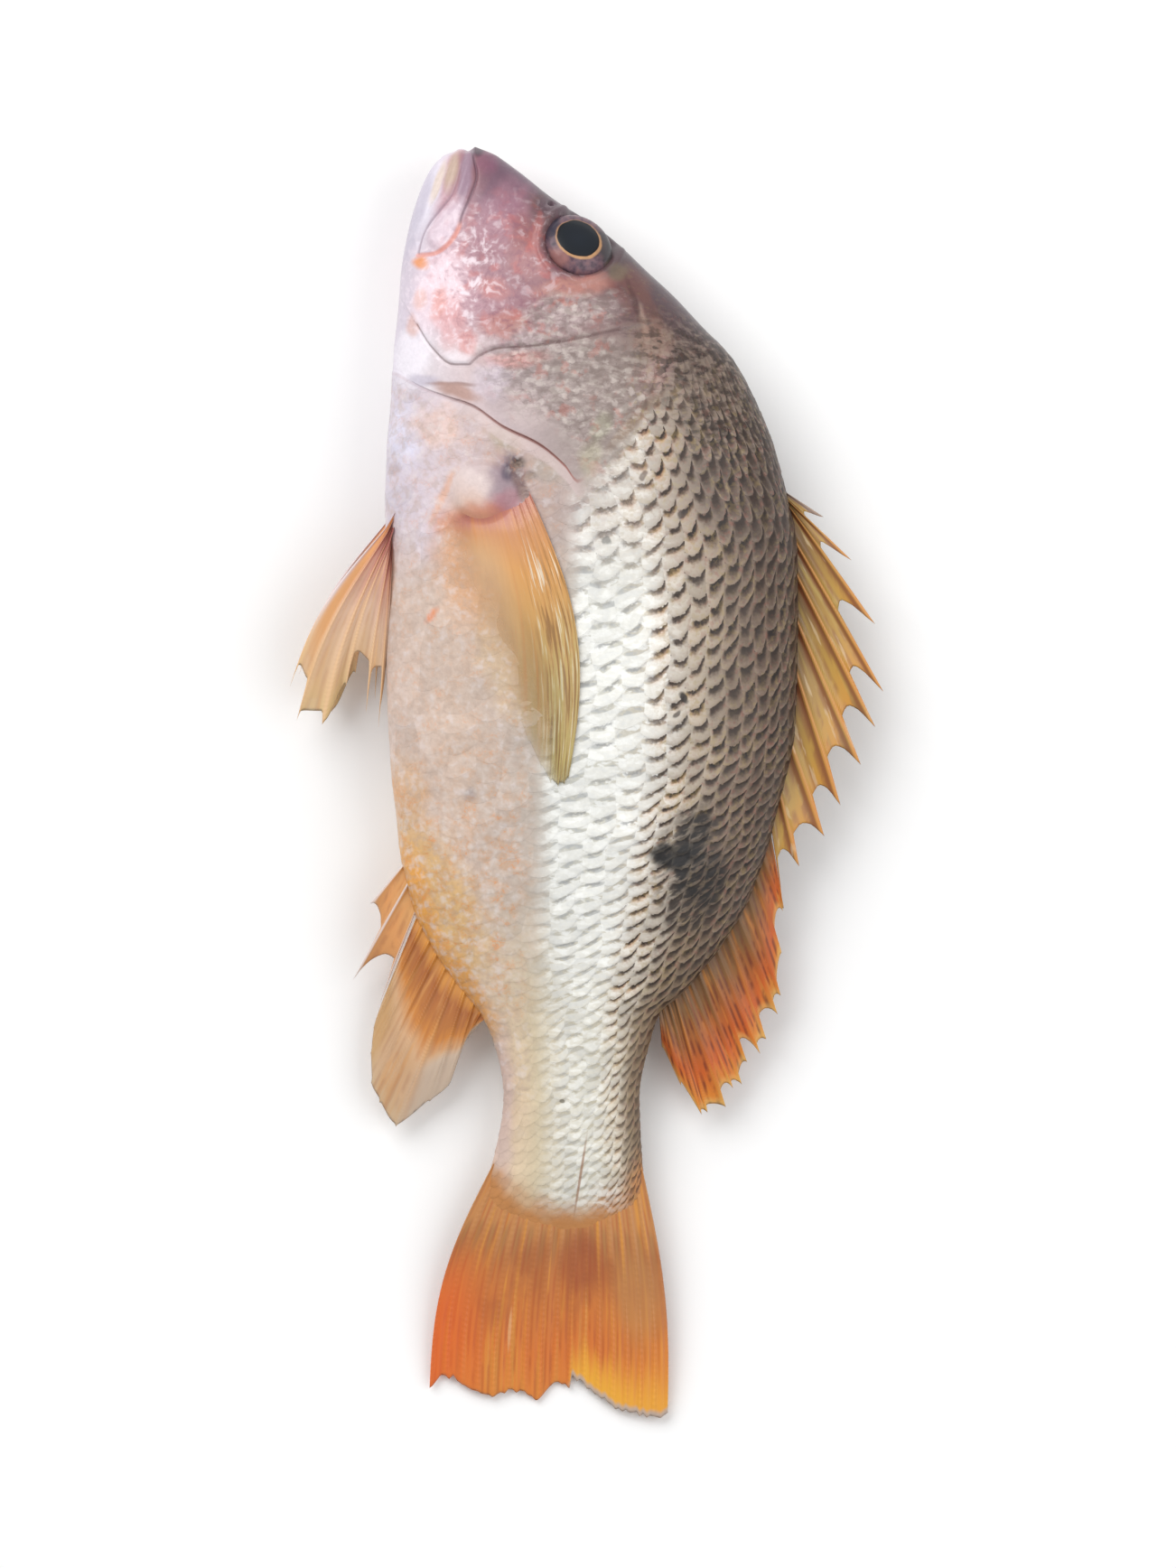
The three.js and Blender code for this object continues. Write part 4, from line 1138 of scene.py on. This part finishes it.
# The anal fin: branched rays behind those spines, in a skin that is half clear towards its edge.
ANAL_RAYS = [
    (-40.2, 181.5, -48.3, 201.4), (-39.0, 184.0, -50.1, 207.0), (-37.2, 187.0, -50.8, 213.0),
    (-35.4, 190.0, -50.7, 220.0), (-33.4, 193.2, -48.7, 224.6), (-31.2, 196.2, -44.9, 230.3),
    (-28.8, 199.0, -36.9, 224.4), (-26.6, 201.4, -32.4, 220.6), (-24.8, 203.2, -29.0, 211.2),
    (-23.6, 204.6, -24.6, 205.6),
]
anal = fin(
    "anal_fin", ANAL_RAYS, 12, 64,
    notched([0.99, 0.98, 0.985, 0.985, 0.98, 0.97, 0.985, 0.99, 0.99], 0.5),
    drooping(3.6, 0.4, 1.3, 3), (0.95, 0.3, 0.3), sunk=6.0, fork=0.8)
end = finish("anal_fin_skin", anal)
colour, bumps, ray, reach, gap, off = fin_colour(
    end, [(0.0, (216, 150, 72)), (0.12, (172, 104, 54)), (0.28, (184, 116, 58)), (0.38, (204, 132, 62)),
          (0.54, (212, 170, 130)), (0.8, (214, 174, 134)), (1.0, (210, 180, 142))],
    (216, 156, 92), 0.6, (150, 84, 52), 0.25, 0.3)
colour = colour.covered((208, 158, 88), ray.between(3.0, 1.8) * reach.between(0.5, 0.75) * 0.6)
colour = colour.covered((214, 196, 178), ray.between(4.6, 5.6) * reach.between(0.5, 0.62) * 0.75)
fringe = end.noise((ray * 3.0).pair(reach), 0.7, 2.0).between(0.55, 0.7)
colour = colour.covered((92, 82, 78), gap.between(1.2, 0.2) * fringe * ray.between(4.5, 5.2) * 0.7)
alpha = 1 - 0.22 * reach.between(0.5, 0.7)
shine(end, colour, 0.36, bumps, Alpha=alpha, Coat_Weight=0.3, Coat_Roughness=0.18)

# The tail fin: branched rays in a thick skin, ragged along its slightly forked rear edge.
TAIL_RAYS = 17
TAIL_ROOT = 236.0
TAIL_REAR = [(0, 292.6), (0.045, 290), (0.1, 290.4), (0.17, 293.5), (0.24, 294.3), (0.3, 293.4),
             (0.38, 294.2), (0.43, 295.2), (0.48, 292.6), (0.53, 291.6), (0.565, 293), (0.57, 290.4),
             (0.65, 292.8), (0.74, 296.4), (0.82, 298.6), (0.92, 299.2), (0.98, 299.6), (1, 299)]
rear = through(TAIL_REAR)
tail_share = np.arange(TAIL_RAYS) / (TAIL_RAYS - 1)
tail_rays = np.column_stack([
    np.interp(tail_share, [0, 1], [-20.5, 12.4]), np.full(TAIL_RAYS, TAIL_ROOT),
    through([(0, -37.0), (0.5, -7.5), (1, 19.2)])(tail_share), rear(tail_share)])
tail_drop = through([(0, 9.8), (0.4, 7.4), (1, 1.6)])
draw = np.random.default_rng(7)
frayed = through(np.column_stack([np.arange(0, TAIL_RAYS, 0.25), draw.uniform(-0.022, 0.0, 4 * TAIL_RAYS)]))


def tail_margin(ray):
    """The ragged rear edge: finely frayed, and in parts of the full length."""
    part = np.clip(ray / (TAIL_RAYS - 1), 0, 1)
    length = TAIL_REAR[0][1] - TAIL_ROOT
    return 1 + frayed(np.clip(ray, 0, TAIL_RAYS - 1.3)) + (rear(part) - through(
        np.column_stack([np.arange(TAIL_RAYS), tail_rays[:, 3]]))(ray)) / length


tail = fin(
    "tail_fin", tail_rays, 12, 110, tail_margin,
    lambda ray, reach, x, behind: tail_drop(reach) + 0.5 * np.sin(0.56 * ray) * reach
    + 0.5 * rise(ray, 8.9, 9.3) * rise(reach, 0.45, 0.8),
    (1.25, 0.4, 0.95), bow=lambda ray: through([(0, -4.2), (8, -0.6), (16, 2.5)])(ray), sunk=2.0, fork=1.0)
end = finish("tail_skin", tail)
colour, bumps, ray, reach, gap, off = fin_colour(
    end, [(0.0, TAIL_TINT), (0.3, TAIL_TINT), (0.42, (180, 112, 60)), (0.6, (198, 116, 54)),
          (0.8, (214, 118, 50)), (1.0, (222, 132, 56))], (214, 146, 60), 0.7, (166, 74, 36), 0.45)
cloud = end.noise((ray * 0.35).pair(reach * 3.5), 1.0, 4.0)
wavy_reach = reach + (end.noise((ray * 3).pair(reach * 2), 1.0, 3.0) - 0.5) * 0.25
midway = reach.between(0.3, 0.42) * reach.between(0.85, 0.6)
colour = colour.covered((158, 86, 46), cloud.between(0.46, 0.62) * midway * 0.45)
at_root = reach.between(0.28, 0.34) * reach.between(0.5, 0.36)
colour = colour.covered((132, 100, 62), at_root * off.between(0.15, 0.4) * 0.35)
smudge = ray.pair(reach * 10).patch(9.6, 4.6, 1.6, 1.3)
colour = colour.covered((150, 74, 44), smudge * 0.6)
dull = ray.pair(reach * 10).patch(14.0, 5.4, 1.8, 1.6)
colour = colour.covered((180, 128, 76), dull * 0.6)
colour = colour.covered((226, 96, 34), ray.between(4.5, 0.0) * reach.between(0.35, 0.7) * 0.65)
colour = colour.covered((240, 176, 56), ray.between(8.8, 9.4) * wavy_reach.between(0.78, 0.97) * 0.9)
colour = colour.covered((228, 152, 60), ray.between(10, 16) * reach.between(0.5, 0.9) * 0.45)
colour = colour.covered((186, 172, 164), gap.between(2.0, 0.6) * ray.between(8.8, 9.2) * 0.85)
streak = ray.pair(reach * 10).patch(4.9, 7.4, 0.1, 0.8)
colour = colour.covered((230, 190, 140), streak * 0.5)
shine(end, colour, 0.4, bumps, Specular_IOR_Level=0.4, Coat_Weight=0.15, Coat_Roughness=0.2)

# The pelvic fins: a pair under the throat, spread to one side of the belly.
PELVIC = [
    (-47.0, 89.4, -69.8, 127.1), (-46.8, 90.8, -68.1, 134.7), (-46.6, 92.3, -62.1, 135.6),
    (-46.4, 93.9, -56.4, 126.4), (-46.1, 95.6, -51.8, 133.0), (-45.8, 97.4, -48.9, 136.6),
    (-45.6, 99.3, -46.8, 122.8),
]


def pelvic(name, rays, high, sag, power, shift):
    """A pelvic fin that starts high on the belly and sags, with waves across its rays."""
    return fin(
        name, rays, 16, 64, notched([0.8, 0.93, 0.98, 0.69, 0.63, 0.8], 0.3),
        lambda ray, reach, x, behind: high - sag * reach**power + 0.5 * np.sin(2.2 * ray + shift),
        (1.1, 0.35, 0.3), bow=lambda ray: -3.0 * np.clip(1 - ray / 5, 0, 1), sunk=5.0)


end = finish(
    "pelvic_fin_skin", pelvic("left_pelvic_fin", PELVIC, 24.0, 8.0, 1.5, 1),
    pelvic("right_pelvic_fin", [(a, b - 1.5, c + 2.0, d - 3.0) for a, b, c, d in PELVIC], 14.0, 9.0, 1.2, 0))
colour, bumps, ray, reach, gap, off = fin_colour(
    end, [(0.0, (186, 116, 112)), (0.12, (210, 156, 138)), (0.4, (224, 188, 162)), (0.8, (224, 186, 140)),
          (1.0, (216, 188, 134))], (230, 176, 120), 0.5, (184, 128, 104), 0.25)
colour = colour.covered((232, 190, 146), off.between(0.12, 0.03) * 0.7)
colour = colour.covered((230, 214, 216), ray.between(0.28, 0.08) * reach.between(0.75, 0.4) * 0.9)
by_the_first = end.math("ABSOLUTE", ray - 0.55).between(0.5, 0.1)
colour = colour.covered((232, 166, 100), by_the_first * reach.between(0.9, 0.5) * 0.8)
alpha = 1 - 0.25 * off.between(0.15, 0.4) * reach.between(0.1, 0.3)
shine(end, colour, 0.36, bumps, Alpha=alpha, Coat_Weight=0.3, Coat_Roughness=0.18)

# The pectoral fins: a pair behind the gill covers, folded back flat on the flanks. Their lower
# rays are so thin that the belly shows through them.
PECTORAL = [
    (-15.2, 76.4, -4.2, 148.6), (-16.2, 77.4, -5.2, 150.0), (-17.3, 78.5, -6.6, 150.4),
    (-18.6, 79.7, -8.4, 149.4), (-20.0, 81.0, -10.6, 145.8), (-21.6, 82.3, -13.6, 139.6),
    (-23.2, 83.6, -17.0, 131.8), (-25.4, 84.8, -21.4, 124.4), (-28.0, 85.8, -25.6, 118.6),
    (-30.8, 86.4, -30.0, 112.6), (-33.6, 86.6, -33.8, 106.0),
]
pectoral_bow = through([(0, 7.2), (3, 4.4), (6, 1.8), (10, 0)])


def lying(way):
    """Heights of a fin that lies on the left (1) or right (-1) flank."""
    def height(ray, reach, x, behind):
        turn = flank_turn(x, behind)
        skin = flesh(behind, way * turn)[..., 2]
        proud = through([(0, -0.9), (0.06, -0.3), (0.16, 0.9), (0.7, 0.8), (1, 0.45)])(reach)
        _, on_lobe = lobe_bulge(x, behind)
        thinner = 1 - 0.8 * rise(ray, 2, 8)
        return np.maximum(skin + way * (proud * thinner + on_lobe * 0.8), REST)
    return height


pectoral_notches = notched([0.985] * 10, 0.5)
pectorals = [
    fin(name, PECTORAL, 12, 96, pectoral_notches, lying(way), (0.45, 0.3, 0.22),
        bow=pectoral_bow, sunk=1.5, fork=0.7,
        fade=lambda ray: 1 - 0.7 * rise(ray, 0.2, 1) - 0.3 * rise(ray, 2, 4))
    for name, way in (("left_pectoral_fin", 1), ("right_pectoral_fin", -1))
]
end = finish("pectoral_fin_skin", *pectorals)
colour, bumps, ray, reach, gap, off = fin_colour(
    end, [(0.0, (184, 112, 108)), (0.08, (192, 122, 104)), (0.15, (210, 148, 104)), (0.3, (218, 158, 90)),
          (0.5, (206, 160, 98)), (0.7, (194, 162, 108)), (1.0, (188, 168, 104))],
    (208, 132, 66), 0.4, (150, 104, 60), 0.3, 0.1, smooth=4.5)
right = ray.between(5.0, 2.6)
fine = end.noise((ray * 4).pair(reach * 5), 1.0, 4.0)
# on the thick leading rays: painted shade in dark streaks, and painted highlights in pale ones
colour = colour.covered((134, 98, 58), fine.between(0.5, 0.36) * right * reach.between(0.12, 0.4) * 0.75)
colour = colour.covered((242, 230, 208), fine.between(0.57, 0.64) * right * reach.between(0.1, 0.3) * 0.8)
colour = colour.covered((196, 186, 122), fine.between(0.46, 0.54) * right * reach.between(0.3, 0.6) * 0.4)
colour = colour.covered((221, 181, 140), ray.between(4.0, 7.5) * reach.between(0.1, 0.35) * 0.8)
film = end.noise((ray * 0.5).pair(reach * 2.5), 1.0, 3.0)
thin = reach + ray.between(2.5, 9.0) * 0.35 + (film - 0.5) * 0.5
alpha = end.math("MAXIMUM", thin.between(1.3, 0.4), ray.between(4.5, 1.5)) * ray.between(10.0, 7.2)
alpha = alpha * reach.between(-0.02, 0.06) * (1 - 0.15 * fine) * (0.55 + 0.45 * gap.between(0, 6))
shine(end, colour, 0.34, bumps, Alpha=alpha, Coat_Weight=0.3, Coat_Roughness=0.18)


# ----------------------------------------------------------------------------- table, light, view
# A plain table top in pale paint, nearly smooth, under the fish. Two large soft lamps stand over
# it, by the head and by the back, in an evenly white room, and the camera looks straight down.
bm = bmesh.new()
bmesh.ops.create_grid(bm, x_segments=1, y_segments=1, size=3.0)
mesh = bpy.data.meshes.new("table_top")
bm.to_mesh(mesh)
bm.free()
table = bpy.data.objects.new("table_top", mesh)
bpy.context.scene.collection.objects.link(table)
end = finish("table_paint", table)
spot = end.node("TexCoord", {}, {}, "Object")
fine = end.node("Bump", {}, {"Strength": 0.05, "Distance": 0.001, "Height": end.noise(spot, 0.01, 2.0)})
shine(end, srgb(250, 250, 250), 0.7, fine)

# place of each square lamp, its width in metres, and its power in watts; all point at the fish
LAMPS = [("head_side_lamp", (-0.55, 0.75, 1.0), 1.0, 11.5), ("back_side_lamp", (0.9, 0.0, 1.1), 1.2, 7)]
for name, place, size, power in LAMPS:
    light = bpy.data.lights.new(name, "AREA")
    light.size = size
    light.energy = power
    made = bpy.data.objects.new(name, light)
    made.location = place
    made.rotation_euler = (Vector() - Vector(place)).to_track_quat("-Z", "Y").to_euler()
    bpy.context.scene.collection.objects.link(made)

ROOM_LIGHT = 0.53
world = bpy.data.worlds.new("room")
world.use_nodes = True
world.node_tree.nodes["Background"].inputs["Color"].default_value = (1, 1, 1, 1)
world.node_tree.nodes["Background"].inputs["Strength"].default_value = ROOM_LIGHT
bpy.context.scene.world = world
bpy.context.scene.view_settings.view_transform = "Standard"

VIEW_HEIGHT = 4.0  # from the widest part of the body up to the camera
VIEW_LENGTH = 0.3683  # the length along the fish that fills the view there
VIEW_MIDDLE = (0.00042, 0.00042)  # the place in the middle of the view
WIDEST = 0.02  # height of the widest part of the body
camera = bpy.data.cameras.new("view")
camera.sensor_width = 36
camera.lens = camera.sensor_width * VIEW_HEIGHT / VIEW_LENGTH
viewer = bpy.data.objects.new("view", camera)
viewer.location = (*VIEW_MIDDLE, VIEW_HEIGHT + WIDEST)
bpy.context.scene.collection.objects.link(viewer)
bpy.context.scene.camera = viewer
